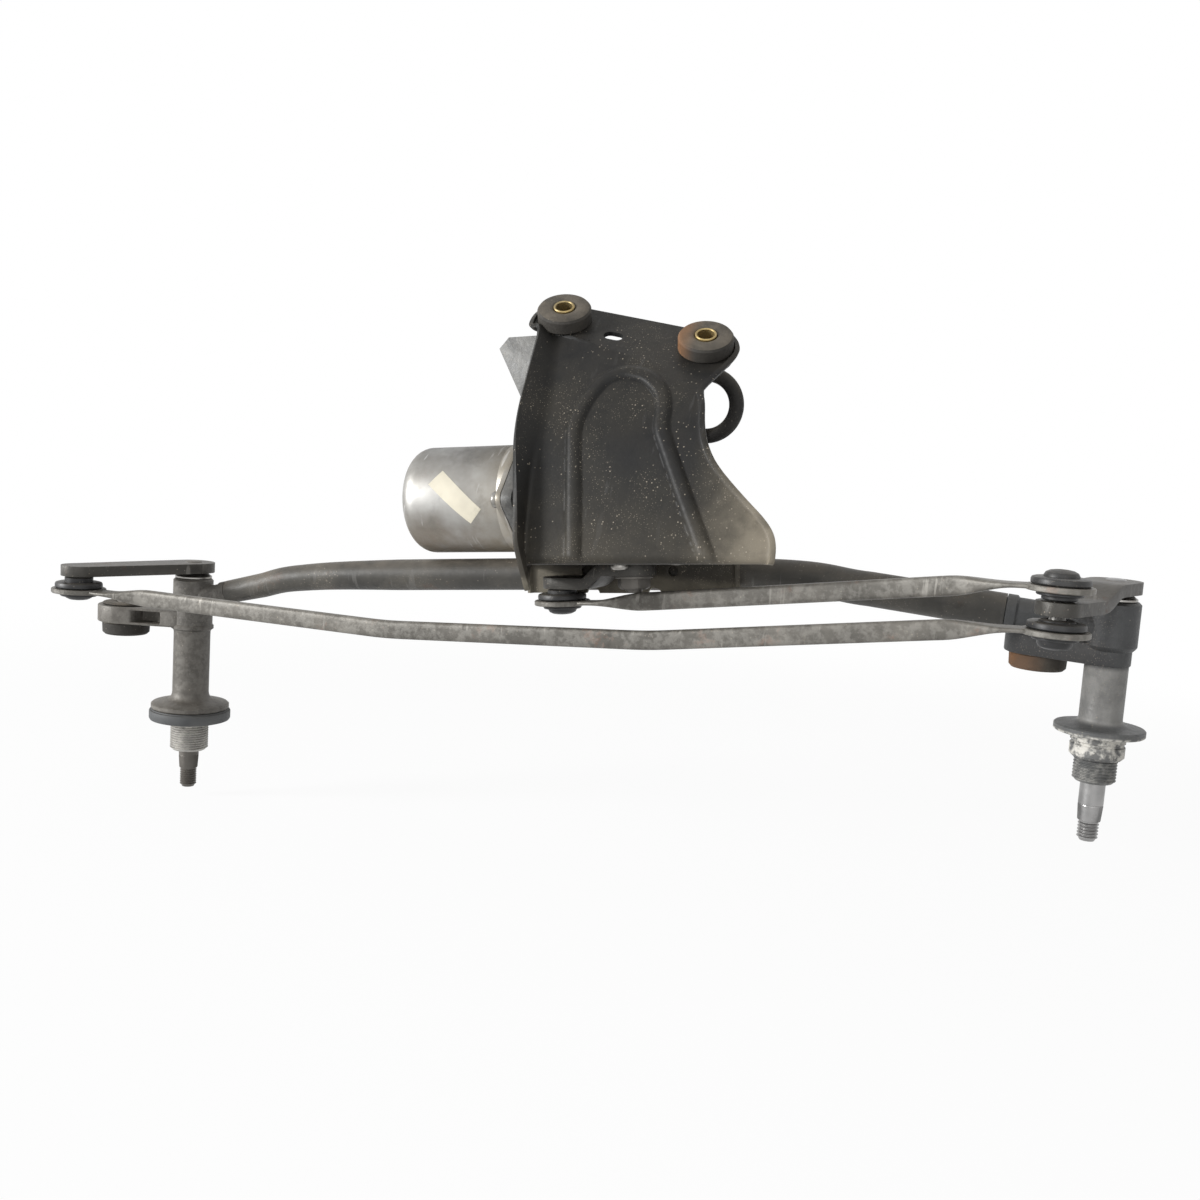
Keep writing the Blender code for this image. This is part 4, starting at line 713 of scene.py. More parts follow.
def right_housing():
    """Profile of the right casting, from its sleeve's top down to its threaded end."""
    top, step, disc, collar, thread_top, end = 13, -10, -49, -52.5, -65, -77
    outer = [(BEARING_BORE, top), (11.8, top), (13, top - 1.2), (13, step + 1.2), (12.2, step)]
    outer += [(10.6, step - 1.6), (10.3, step - 3.5), *fillet(10.3, disc + 4, 15, disc + 0.5), (20.9, disc)]
    outer += [(21.5, disc - 0.6), (21.5, collar + 0.5), (21, collar), (13, collar - 0.1), (13, collar - 4)]
    outer += [(12.3, collar - 4.6), (12.3, collar - 5.4), (13, collar - 6), (13, thread_top + 1.5)]
    outer += [(11.5, thread_top), (9.9, thread_top), *thread(10.3, thread_top - 0.3, end + 0.8)]
    return outer + [(8.8, end), (BEARING_BORE, end), (BEARING_BORE, top)]


class WIPER_OT_pivots(bpy.types.Operator):
    """Cast pivot housings with ears, spigots, flanges and threaded necks, and the left rubber seal."""

    bl_idname = "wiper.pivots"
    bl_label = "Pivot housings"

    def execute(self, context):
        route = [BODY @ point for point in tube_route()]
        left = turned("left_casting", left_housing(), at(*LEFT), 72)
        neck = spigot("left_neck", route[0], route[4], LEFT, 5.2, 6.9)
        eye = ear("left_eye", LEFT, LEFT_EAR, 10)
        dress(joined(left, neck, eye), "light_cast", "frame", "cast_alloy", "left_pivot_housing")
        right = turned("right_casting", right_housing(), at(*RIGHT), 72)
        neck = spigot("right_neck", route[-1], route[-4], RIGHT, 7.2, 9)
        eye = ear("right_eye", RIGHT, RIGHT_EAR, 11)
        dress(joined(right, neck, eye), "dark_cast", "frame", "cast_alloy", "right_pivot_housing")
        high, low, bore = -110, -117, 11.8
        lip = [(bore, high), (22.9, high), (23.2, high - 0.6), (24.2, high - 0.8), (24.5, high - 1.3)]
        lip += [(24.5, low + 1.4), (23.9, low + 0.4), (22.6, low), (bore, low), (bore, high)]
        dress(turned("left_seal", lip, at(*LEFT)), "grey_rubber", "frame", "rubber", "left_seal_ring")
        return {"FINISHED"}


def spindle(name, place, lever_top, cone, end):
    """Wiper spindle with a riveted head, a knurled cone and a threaded end."""
    r, head, steps, tooth_depth = in_mm().spindle, 5, 96, 0.055
    profile = [(0, lever_top + 0.8), (3.2, lever_top + 0.8), (4.4, lever_top + 0.5), (head, lever_top - 0.2)]
    profile += [(head, lever_top - 6.3), (r, lever_top - 6.3), (r, cone + 8.6), (r - 0.25, cone + 8.3)]
    profile += [(r, cone + 8), (r, cone + 7.6), (head + 0.5, cone + 0.4), (head + 0.2, cone)]
    profile += [(head - 0.7, cone - 0.2), *thread(head, cone - 0.6, end + 1.2), (3.6, end), (0, end)]
    piece = turned(name, profile, steps=steps)
    for vertex in piece.data.vertices:
        if cone + 0.2 < vertex.co.z / MM < cone + 8.1:
            tooth = round(math.atan2(vertex.co.y, vertex.co.x) * steps / (2 * math.pi)) % 2
            vertex.co.xy *= 1 - tooth_depth * tooth
    return moved(piece, at(*place))


DISH = ((6.3, 3.4), (7.6, 3.4), (8.2, 3.1), (10.6, 1.4), (11, 1.1), (11, 0.2), (10.8, 0))
DISH += ((9.6, 0), (7.4, 1.9), (6.3, 2), (6.3, 3.4))


class WIPER_OT_spindles(bpy.types.Operator):
    """Spindles with knurls and threads, and the dished washers under their levers."""

    bl_idname = "wiper.spindles"
    bl_label = "Spindles"

    def execute(self, context):
        left = spindle("left_shaft", LEFT, -17.7, -148.2, -160.2)
        dress(left, "dull_steel", "left_pivot", "bare_steel", "left_spindle")
        right = spindle("right_shaft", RIGHT, 23, -97, -107)
        dress(right, "polished_steel", "right_pivot", "bare_steel", "right_spindle")
        for side, place, low in (("left", LEFT, -27.4), ("right", RIGHT, 13.3)):
            dish = turned(side + "_dish", [(r, low + z) for r, z in DISH], at(*place))
            dress(dish, "bare_steel", side + "_pivot", "bare_steel", side + "_spindle_washer")
        return {"FINISHED"}


def strap(name, hub, end, height, hub_radius, end_radius, drop):
    """Flat arm between two round ends, cranked down by drop on its way."""
    hub = hub + Vector((0, 0, height))
    along = end + Vector((0, 0, height)) - hub
    length = along.length
    along.normalize()
    side = Vector((-along.y, along.x, 0))
    caps = [math.pi / 2 * i / 9 for i in range(9)]
    stations = [-hub_radius * math.cos(t) for t in caps]
    stations += [length * i / 24 for i in range(25)]
    stations += [length + end_radius * math.cos(t) for t in reversed(caps)]

    def point(u, v):
        s = stations[round(v * (len(stations) - 1))]
        if s < 0:
            half = math.sqrt(max(0, hub_radius**2 - s**2))
        elif s > length:
            half = math.sqrt(max(0, end_radius**2 - (s - length) ** 2))
        else:
            half = hub_radius + (end_radius - hub_radius) * s / length
        half = max(half, 0.4)
        low = drop * ease((s / length - 0.3) / 0.28)
        return hub + along * s + side * half * (2 * u - 1) - Vector((0, 0, low))

    piece = walled(sheet(name, 8, len(stations) - 1, point), in_mm().lever, 0)
    edit(piece)
    close_edit()
    return eased(piece, 0.7, 50)


def crank_pin():
    """Crank pin in the body frame, in line with the output shaft and the right ball."""
    ball = BODY.inverted() @ Vector((RIGHT_BALL.x, RIGHT_BALL.y, 23))
    toward = Vector((ball.x - OUTPUT.x, ball.y - OUTPUT.y, 0)).normalized()
    return OUTPUT - toward * 44


class WIPER_OT_levers(bpy.types.Operator):
    """Levers on the spindles, and the crank with its nut and the end of the output shaft."""

    bl_idname = "wiper.levers"
    bl_label = "Levers and crank"

    def execute(self, context):
        left = strap("left_arm", LEFT, LEFT_BALL, -20.7, 12.5, 10, 0)
        dress(left, "lever_steel", "left_pivot", "link_steel", "left_lever")
        right = strap("right_arm", RIGHT, RIGHT_BALL, 20, 12.5, 10, 6.5)
        dress(right, "lever_steel", "right_pivot", "link_steel", "right_lever")
        crank = moved(strap("crank_strap", OUTPUT, crank_pin(), 5.5, 12, 10, 7.5), BODY)
        dress(crank, "lever_steel", "crank", "link_steel", "crank_arm")
        place = BODY @ at(*OUTPUT)
        crown = turned("nut_crown", [(0, -5), (6.6, -5), (9, -3.4), (9, 2), (0, 2)])
        nut = cut(plate("nut_hex", ring(9, 6), -4.8, 1.2), crown, "INTERSECT")
        washer = turned("nut_washer", [(0, 1), (9.8, 1), (10.2, 1.4), (10.2, 2.2), (0, 2.2)])
        nut = moved(joined(eased(nut, 0.4), washer), place)
        dress(nut, "dull_steel", "crank", "bare_steel", "crank_nut")
        stub = [(0, 50.5), (6, 50.5), (6, 8.8), (5, 8.8), (5, -3), (4.6, -5.6), (3.9, -6.5), (1.2, -6.5), (0, -5.8)]
        dress(turned("output_stub", stub, place), "dull_steel", "crank", "bare_steel", "output_shaft")
        return {"FINISHED"}


LINK_RIM = ((9.1, -1.3), (14.6, -1.3), (15, -0.9), (15, 0.9), (14.6, 1.3), (9.1, 1.3), (9.1, -1.3))


def link(name, start_at, end_at, knees, start_turn):
    """Flattened tube with plate ends, ringed round the ball sockets."""
    sizes = in_mm()
    edge, neck, taper = 11.8, 19, 30
    flat_width, flat_height = 15, 2.4
    first = (knees[0] if knees else end_at) - start_at
    last = end_at - (knees[-1] if knees else start_at)
    level = start_turn.inverted() @ first
    flat_first = start_turn @ Vector((level.x, level.y, 0)).normalized()
    flat_last = Vector((last.x, last.y, 0)).normalized()
    head = [start_at + flat_first * edge, start_at + flat_first * neck]
    head.append(head[1] + first.normalized() * taper)
    tail = [end_at - flat_last * neck, end_at - flat_last * edge]
    tail.insert(0, tail[0] - last.normalized() * taper)
    knots = [*head, *knees, *tail]
    flat = [1, 1, 0] + [0] * len(knees) + [0, 1, 1]
    path, shares = [], []
    for (a, b), (flat_a, flat_b) in zip(zip(knots, knots[1:]), zip(flat, flat[1:])):
        count = max(2, round((b - a).length / 3))
        path += [a.lerp(b, i / count) for i in range(count)]
        shares += [flat_a + (flat_b - flat_a) * ease(i / count) for i in range(count)]
    path.append(knots[-1])
    shares.append(1)
    for _ in range(8):
        path[1:-1] = [(a + b * 2 + c) / 4 for a, b, c in zip(path, path[1:], path[2:])]
    sections = []
    for share in shares:
        width = sizes.link_width + (flat_width - sizes.link_width) * share
        sections.append(pillow(width, sizes.link_height + (flat_height - sizes.link_height) * share))
    made = bar(name, path, sections)
    for place in (at(*start_at) @ start_turn, at(*end_at)):
        made = joined(made, turned("rim", LINK_RIM, place))
    return made


SKIRT = ((11.4, 0), (12.6, 0.4), (13, 1.2), (13, 2.8), (12.5, 3.4))
SKIRT_UPTURNED = tuple((r, 3.4 - z) for r, z in reversed(SKIRT))
LIP = ((9.8, 0), (10.2, 0.4), (10.2, 1.2), (9.8, 1.6))
WAIST = ((8.8, 0), (8.8, 3.2))


def socket(name, neck, plate_first, place, sign):
    """Plastic ball cup with its seal skirt, lip and domed cap, opening along sign times Z from its mouth."""
    ball, mouth_radius, wall = 6.3, 4.3, 7.8
    centre = math.sqrt(ball**2 - mouth_radius**2)
    length = centre + ball + 2.6
    stop = math.pi - math.asin(mouth_radius / ball)
    turns = [stop * i / 10 for i in range(11)]
    profile = [(ball * math.sin(t), centre + ball * math.cos(t)) for t in turns]
    profile += [(7.2, 0), (wall, 0.5), (wall, neck)]
    depth = neck
    for part in ((LIP, WAIST, SKIRT_UPTURNED) if plate_first else (SKIRT, WAIST, LIP)):
        profile += [(r, depth + z) for r, z in part]
        depth += max(z for _, z in part)
    profile += [(wall, depth + 0.1), (wall, max(depth + 0.3, length - 2.6)), (7, length - 1.2)]
    profile += [(5.2, length - 0.3), (3.4, length), (2.2, length - 0.5), (0, length - 0.6)]
    return turned(name, [(r, -sign * z) for r, z in profile], place, 48)


class WIPER_OT_links(bpy.types.Operator):
    """The two links with their ball sockets."""

    bl_idname = "wiper.links"
    bl_label = "Links and sockets"

    def execute(self, context):
        def over(ball, height):
            return ball + Vector((0, 0, height))

        pin = crank_pin()
        short = link("short_tube", BODY @ over(pin, -12.8), over(RIGHT_BALL, 22.3), [], BODY)
        dress(short, "link_steel", "short_link", "link_steel", "short_link")
        knees = []
        for x, z in ((-95, -33), (50, -22.5)):
            knee = LEFT_BALL.lerp(RIGHT_BALL, (x - LEFT_BALL.x) / (RIGHT_BALL.x - LEFT_BALL.x))
            knees.append(over(knee, z))
        long = link("long_tube", over(LEFT_BALL, -32.3), over(RIGHT_BALL, 2.5), knees, Matrix())
        dress(long, "link_steel", "long_link", "link_steel", "long_link")
        cups = (
            ("short_link_crank", "short_link", 2.2, False, BODY @ at(*over(pin, -5.6)), 1),
            ("short_link_right", "short_link", 2, True, at(*over(RIGHT_BALL, 17.1)), -1),
            ("long_link_right", "long_link", 1, False, at(*over(RIGHT_BALL, 8.5)), 1),
            ("long_link_left", "long_link", 3, False, at(*over(LEFT_BALL, -24.3)), 1),
        )
        for name, body, neck, plate_first, place, sign in cups:
            cup = socket(name + "_cup", neck, plate_first, place, sign)
            dress(cup, "black_plastic", body, "black_plastic", name + "_socket")
        return {"FINISHED"}


def bush(name, place, thickness, front, back):
    """Grooved rubber ring: faces worn round at the rims, a groove where it holds the sheet."""
    sizes = in_mm()
    rim, bore, waist = sizes.bush, sizes.sleeve + CLEAR, 9.5
    seat = thickness / 2 + CLEAR
    high, low = seat + front, -seat - back
    soft = min(1.6, front * 0.6)
    profile = [(bore, high - 0.5), (bore + 0.6, high - 0.1), (bore + 2.2, high), (rim - 2.4, high)]
    profile += [(rim - 0.8, high - soft * 0.3), (rim, high - soft), (rim, seat + 0.5), (rim - 0.4, seat)]
    profile += [(waist, seat), (waist, -seat), (rim - 0.4, -seat), (rim, -seat - 0.5), (rim - 0.3, low + 1.6)]
    profile += [(rim - 1.6, low + 0.3), (rim - 3.4, low), (bore, low), (bore, high - 0.5)]
    return turned(name, profile, place, 64)


def sleeve(name, place, thickness, front, back):
    """Rolled steel sleeve through a bush."""
    sizes = in_mm()
    outer, bore, soft, proud = sizes.sleeve, sizes.bore, 0.35, 0.6
    high = thickness / 2 + CLEAR + front + proud
    low = -thickness / 2 - CLEAR - back - proud
    profile = [(bore + soft, high), (outer - soft, high), (outer, high - soft), (outer, low + soft)]
    profile += [(outer - soft, low), (bore + soft, low), (bore, low + soft), (bore, high - soft)]
    return turned(name, [*profile, profile[0]], place, 48)


def top_frame():
    """Top flange of the bracket in the body frame: X along its bushes, Y to its rear edge, Z out of its face."""
    slope, rise = math.radians(13.9), math.radians(38)
    along = Vector((math.cos(slope), 0, -math.sin(slope)))
    back = Vector((0, math.cos(rise), math.sin(rise)))
    face = along.cross(back).normalized()
    place = Matrix((along, face.cross(along), face)).transposed().to_4x4()
    place.translation = (28, -19, 126.5)
    return place


class WIPER_OT_bushes(bpy.types.Operator):
    """Rubber mounting bushes with their steel sleeves, on the pivots and on the bracket."""

    bl_idname = "wiper.bushes"
    bl_label = "Bushes and sleeves"

    def execute(self, context):
        top = BODY @ top_frame()
        seats = (
            ("left_ear", at(*LEFT_EAR), 10.5, 1.5, 8, "worn_rubber", "dull_steel"),
            ("right_ear", at(*RIGHT_EAR), 10.5, 1.5, 8, "rusty_ear", "dull_steel"),
            ("upper_left", top @ at(-BUSH_HALF, 0, 0), 2.5, 8, 5, "worn_rubber", "yellow_zinc"),
            ("upper_right", top @ at(BUSH_HALF, 0, 0), 2.5, 8, 5, "rusty_bush", "yellow_zinc"),
        )
        for name, place, thick, front, back, soft, hard in seats:
            rubber = bush(name + "_rubber", place, thick, front, back)
            dress(rubber, soft, "frame", "rubber", name + "_bush")
            tube = sleeve(name + "_tube", place, thick, front, back)
            dress(tube, hard, "frame", "yellow_zinc", name + "_sleeve")
        return {"FINISHED"}


SKIRT_Y, BASE_Z, FOOT_Y, CREASE_Z = -10.55, 12, -81, 72
LOWER_LEAN, UPPER_LEAN = 0.34, 0.6

# Heights of the plate with its left edge, its right edge and how far the left fold flares
PLATE_SIDES = ((22, -13.6, 113, 0), (30, -14, 108.6, -0.3), (42, -13.6, 96.3, -2), (56.3, -13, 83, -4.6))
PLATE_SIDES += ((66, -11.7, 77.5, -7), (76, -10.2, 74.4, -10), (91, -8.9, 72.6, -12.4))

# Distance behind the bushes' line, and half the top flange's length there
FLANGE_REACH = ((-13, 53.5), (0, 55.8), (9, 52.3), (15, 46.3))

# Radii of the bends from the skirt up to the top flange, and of the folds at the sides
BENDS = (4, 5, 14, 14, 14, 14, 14, 14, 14, 10, 8, 9, 9)
FOLDS = (3.2, 3.2)
FACE_COLUMNS = 96

RIB_ARCH = ((14, 13), (11, 47.7), (7.5, 79.9), (11.4, 92), (19.3, 103), (30.2, 106.2), (42.1, 103.2))
RIB_ARCH += ((51.1, 95.1), (53.6, 86.2), (53.2, 76.8), (67.1, 45.2), (81.6, 13))


def plate_y(z):
    """Depth of the bracket's plate at a height: it leans back, and more so above its crease."""
    lower = min(z, CREASE_Z)
    return FOOT_Y + (lower - BASE_Z) * LOWER_LEAN + (z - lower) * UPPER_LEAN


def bend_point(top, along):
    """Where the top flange meets the plate, at a distance along the flange."""
    a = top @ Vector((along, 0, 0))
    b = top @ Vector((along, -10, 0))
    miss_a, miss_b = a.y - plate_y(a.z), b.y - plate_y(b.z)
    return a + (b - a) * miss_a / (miss_a - miss_b)


def bracket_rows(top):
    """Left tip, left edge, right edge and right tip of the pressing, from the skirt up to the top flange."""
    rows = []

    def row(left, right, left_tip, right_tip):
        left, right = Vector(left), Vector(right)
        rows.append((left + Vector(left_tip), left, right, right + Vector(right_tip)))

    row((-36, SKIRT_Y, -9), (78, SKIRT_Y, -9), (-2, -3, 0), (2, -3, 0))
    row((-36, SKIRT_Y, BASE_Z), (78, SKIRT_Y, BASE_Z), (-2, -3, -5), (2, -3, -5))
    row((-12.5, FOOT_Y, BASE_Z), (112, FOOT_Y, BASE_Z), (4.5, -6.6, -14), (1.5, -4, -1))
    for z, left, right, flare in PLATE_SIDES:
        row((left, plate_y(z), z), (right, plate_y(z), z), (flare, -11, 0), (1, -5, 0))
    row(bend_point(top, -BUSH_HALF - 2), bend_point(top, BUSH_HALF + 9), (-6, -7.7, 2), (1, -4, 1))
    up, side = top.to_3x3() @ Vector((0, 0, 2.6)), Vector((1, 0, 0))
    for back, reach in FLANGE_REACH:
        row(top @ Vector((-reach, back, 0)), top @ Vector((reach, back, 0)), up - side, up + side)
    return rows


def dense(table, step):
    """The rows of points, with rows added between those that lie far apart."""
    found = [table[0]]
    for low, high in zip(table, table[1:]):
        count = int(max((b - a).length for a, b in zip(low, high)) / step) + 1
        for i in range(count):
            found.append([a.lerp(b, (i + 1) / count) for a, b in zip(low, high)])
    return found


def rib_line():
    """Arch of the plate's rib in the body frame."""
    knots = [Vector((x, plate_y(z), z)) for x, z in RIB_ARCH]
    return fine(rounded(knots, [5] * len(knots), 5), 1.5)


def punched(piece, place, radius, start_at, end_at=None):
    """Punches a round hole, or a long one up to end_at, through a sheet in the XY plane of place."""
    inverse = place.inverted()
    a = Vector(start_at)
    reach = Vector(end_at or start_at) - a
    mesh = piece.data

    def spine(point):
        share = (point - a).dot(reach) / reach.length_squared if end_at else 0
        return a + reach * min(1, max(0, share))

    edit(piece)
    bpy.ops.mesh.select_mode(type="FACE")
    bpy.ops.mesh.select_all(action="DESELECT")
    bpy.ops.object.mode_set(mode="OBJECT")
    inside, outside = set(), set()
    for face in mesh.polygons:
        middle = inverse @ (face.center / MM)
        face.select = abs(middle.z) < 4 and (middle.xy - spine(middle.xy)).length < radius
        (inside if face.select else outside).update(face.vertices)
    for index in inside & outside:
        local = inverse @ (mesh.vertices[index].co / MM)
        middle = spine(local.xy)
        local.xy = middle + (local.xy - middle).normalized() * radius
        mesh.vertices[index].co = place @ local * MM
    bpy.ops.object.mode_set(mode="EDIT")
    bpy.ops.mesh.delete(type="FACE")
    bpy.ops.mesh.select_mode(type="VERT")
    bpy.ops.object.mode_set(mode="OBJECT")


class WIPER_OT_bracket(bpy.types.Operator):
    """Pressed bracket: skirt, base, leaning plate with folded sides and an arch rib, and the bush flange."""

    bl_idname = "wiper.bracket"
    bl_label = "Motor bracket"

    def execute(self, context):
        sizes = in_mm()
        top = top_frame()
        tracks = [rounded(track, BENDS, 9) for track in zip(*bracket_rows(top))]
        table = []
        for corners in zip(*tracks):
            fold = rounded(corners, FOLDS, 5)
            face = [fold[6].lerp(fold[7], i / FACE_COLUMNS) for i in range(1, FACE_COLUMNS)]
            table.append([*fold[:7], *face, *fold[7:]])
        table = dense(table, 1.7)
        wide, tall = len(table[0]) - 1, len(table) - 1
        pressing = sheet("bracket_pressing", wide, tall, lambda u, v: table[round(v * tall)][round(u * wide)])
        rib = rib_line()
        out = Vector((0, -1, LOWER_LEAN)).normalized()
        for vertex in pressing.data.vertices:
            spot = vertex.co / MM
            if 13 < spot.z < 114 and abs(spot.y - plate_y(spot.z)) < 1.5:
                gap = min((spot - point).length for point in rib) / sizes.rib_width
                vertex.co = (spot + out * sizes.rib_height * ease(1.5 - gap * 1.9)) * MM
        skirt = at(0, SKIRT_Y, 0) @ Matrix.Rotation(math.pi / 2, 4, "X")
        for x in (-BUSH_HALF, BUSH_HALF):
            punched(pressing, top, BUSH_SEAT, (x, 0))
        punched(pressing, top, 3.3, (-11.6, -5), (-7.6, -5))
        punched(pressing, skirt, 2.6, (-5, 3), (3, 3))
        punched(pressing, skirt, 2.8, (44.5, 3))
        for x in (-1, 34, 67):
            punched(pressing, skirt, 4, (x, -10))
        punched(pressing, at(0, 0, BASE_Z), 9, OUTPUT.xy)
        edit(pressing)
        close_edit()
        eased(walled(pressing, sizes.sheet, 0), 0.5, 55)
        smooth(moved(pressing, BODY), 38)
        dress(pressing, "black_sheet", "frame", "black_sheet", "motor_bracket")
        return {"FINISHED"}


def softened(name, node, width, angle=40):
    """Copy of a solid with its edges rounded."""
    piece = bpy.data.objects.new(name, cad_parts[node].data.copy())
    bpy.context.scene.collection.objects.link(piece)
    edit(piece)
    bpy.ops.mesh.remove_doubles(threshold=1e-5)
    bpy.ops.mesh.dissolve_limited(angle_limit=math.radians(1))
    bpy.ops.object.mode_set(mode="OBJECT")
    eased(piece, width, angle)
    edit(piece)
    bpy.ops.mesh.dissolve_degenerate(threshold=1e-6)
    bpy.ops.object.mode_set(mode="OBJECT")
    return piece


def can_shell():
    """Drawn can with a rounded shoulder, a boss on its closed end and a groove near its mouth."""
    r, length, soft = in_mm().can, 69, 11
    boss, well, end = 8.2, 6.6, 76
    turns = [math.pi / 2 * i / 10 for i in range(11)]
    shell = [(0, end - 0.4), (boss - 2, end), (boss - 0.6, end - 0.5), (boss, end - 1.6), (boss, length + 2)]
    shell += [(boss + 0.7, length + 0.6), (boss + 2, length)]
    shell += [(r - soft * (1 - math.sin(t)), length - soft * (1 - math.cos(t))) for t in turns]
    shell += [(r, 9), (r - 0.35, 8.4), (r - 0.35, 7.8), (r, 7.2), (r, 1.8), (r - CAN_WALL, 1.8)]
    shell += [(r - CAN_WALL, length - soft), (r - soft, length - CAN_WALL), (well, length - CAN_WALL)]
    shell += [(well, end - CAN_WALL), (0, end - CAN_WALL)]
    return turned("can_shell", shell, steps=96)


def can_flange():
    """Two-eared flange at the can's mouth."""
    r, ear_radius, ear_reach = in_mm().can, 6, 36
    ears = ring(ear_radius, 36, 0, ear_reach) + ring(ear_radius, 36, 0, -ear_reach)
    flange = plate("can_flange", hull(ring(r + 1, 72) + ears), 0.3, 3.3)
    cut(flange, plate("mouth", ring(r - CAN_WALL - CLEAR, 72), -2, 6))
    for y in (-ear_reach, ear_reach):
        cut(flange, plate("hole", ring(2.8, 24, 0, y), -2, 6))
    return eased(flange)


def can_label():
    """Blank label stuck aslant on the can."""
    r, gap, length, width, thickness = in_mm().can, 0.08, 33, 11, 0.12
    slant, middle_turn, middle_height = math.radians(47.5), math.radians(-86), 33

    def paper(u, v):
        across, along = (u - 0.5) * length, (v - 0.5) * width
        turn = middle_turn + (across * math.cos(slant) - along * math.sin(slant)) / r
        height = middle_height + across * math.sin(slant) + along * math.cos(slant)
        return Vector(((r + gap) * math.cos(turn), (r + gap) * math.sin(turn), height))

    label = sheet("can_label", 24, 16, paper)
    edit(label)
    close_edit()
    return walled(label, thickness, 1)


CASE_SIDE, CASE_TAPER = 58, 0.345
CASE_RIBS = (-27, -9, 9, 27, 45)
COVER_SCREWS = ((-25, 64), (47, 64), (46, 109), (-19, 125), (-50, 125), (-37, 95))


def gear_case():
    """Gear case with its right rear corner drawn in and ribs down its rear wall."""
    case = softened("gear_case", "gear_housing", 1.6)
    for vertex in case.data.vertices:
        vertex.co.x = min(vertex.co.x, CASE_SIDE * MM - vertex.co.y * CASE_TAPER)
    for x in CASE_RIBS:
        rib = moved(eased(block("case_rib", 2.6, 3.4, 40), 0.8), BODY @ at(x, 20.4, 36))
        case = joined(case, rib)
    return case


def cover_screw(name):
    """Pan head with a cross recess, facing up."""
    top = 1.9
    screw = turned(name, [(0, top), (1.4, top), (2.6, 1.4), (3.1, 0.4), (3.1, -0.6), (0, -0.6)], steps=32)
    for turn in (0, math.pi / 2):
        cut(screw, moved(block("recess", 3, 0.7, 2), at(0, 0, top) @ Matrix.Rotation(turn, 4, "Z")))
    return screw


class WIPER_OT_motor(bpy.types.Operator):
    """Drawn motor can with its blank label, the gear case with its covers, and the screws."""

    bl_idname = "wiper.motor"
    bl_label = "Motor and gear case"

    def execute(self, context):
        can = moved(joined(can_shell(), can_flange()), CAN_AXIS)
        dress(can, "can_steel", "frame", "can_steel", "motor_can")
        dress(moved(can_label(), CAN_AXIS), "label", "frame", "can_steel")
        dress(gear_case(), "case_alloy", "frame", "case_alloy", "gear_housing")
        for node in ("gear_cover", "board_cover"):
            dress(softened(node + "_moulding", node, 1), "black_plastic", "frame", "black_plastic", node)
        backwards = Matrix.Rotation(-math.pi / 2, 4, "X")
        for number, (x, z) in enumerate(COVER_SCREWS, 1):
            screw = moved(cover_screw("cover_screw_" + str(number)), BODY @ at(x, 24.15, z) @ backwards)
            dress(screw, "bare_steel", "frame", "bare_steel")
        for node in ("motor_screw_1", "motor_screw_2", "motor_screw_3", "can_screw_1", "can_screw_2"):
            dress(softened(node + "_turned", node, 0.3), "bare_steel", "frame", "bare_steel", node)
        return {"FINISHED"}


class WIPER_OT_lead(bpy.types.Operator):
    """Sleeved lead that loops out of the board case and back into it."""

    bl_idname = "wiper.lead"
    bl_label = "Motor lead"

    def execute(self, context):
        radius, loop, out = 4, 16.5, 4
        root = Vector((54.3, 12, 91))
        path = [root + Vector((out * i / 4, 0, -loop)) for i in range(4)]
        for i in range(41):
            turn = math.radians(-90 + 4.5 * i)
            path.append(root + Vector((out + loop * math.cos(turn), 0, loop * math.sin(turn))))
        path += [root + Vector((out * (3 - i) / 4, 0, loop)) for i in range(4)]
        lead = moved(bar("lead_sleeve", path, [ring(radius, 28)] * len(path), level=(0, 1, 0)), BODY)
        dress(lead, "rubber", "frame", "rubber", "motor_lead")
        path = [BODY @ Vector([length * MM for length in point]) for point in path]
        return {"FINISHED"}


INSIDE = {
    "bronze": (
        "left_upper_bearing", "left_lower_bearing", "right_upper_bearing", "right_lower_bearing", "can_bearing",
        "output_bearing",
    ),
    "copper": ("armature_core", "commutator"),
    "magnet": ("magnet_1", "magnet_2", "brush_1", "brush_2"),
    "bare_steel": ("armature_shaft",),
    "black_plastic": ("brush_holder",),
    "board": ("control_board",),
    "gear_plastic": ("worm_wheel",),
}
STUDS = (("crank_ball_stud", "short_link"), ("left_ball_stud", "long_link"), ("right_ball_stud", "right_pivot"))


class WIPER_OT_inside(bpy.types.Operator):
    """Ball studs in their levers, and the finishes of what sits inside the motor and the pivots."""

    bl_idname = "wiper.inside"
    bl_label = "Studs and inner parts"

    def execute(self, context):
        for node, body in STUDS:
            dress(softened(node + "_turned", node, 0.25, 60), "bare_steel", body, "bare_steel", node)
        for finish, nodes in INSIDE.items():
            for node in nodes:
                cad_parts[node].material_slots[0].material = FINISHES[finish]
        return {"FINISHED"}


# Where the lamps stand and how wide they are, in metres
KEY_LAMP = ((-2.4, -1.7, 0.7), 0.8)
FILL_LAMP = ((0.5, -1.1, 0.25), 0.9)


def viewpoint():
    """The picture's view: turned to the left, a little from above and tilted."""
    turn, drop, roll = math.radians(19), math.radians(7), math.radians(3.8)
    aim, distance = Vector((0, 0, -0.014)), 0.72
    ahead = Vector((-math.sin(turn) * math.cos(drop), math.cos(turn) * math.cos(drop), -math.sin(drop)))
    level = Vector((math.cos(turn), math.sin(turn), 0))
    upward = level.cross(ahead)
    right = level * math.cos(roll) + upward * math.sin(roll)
    up = upward * math.cos(roll) - level * math.sin(roll)
    place = Matrix((right, up, -ahead)).transposed().to_4x4()
    place.translation = aim - ahead * distance
    return place


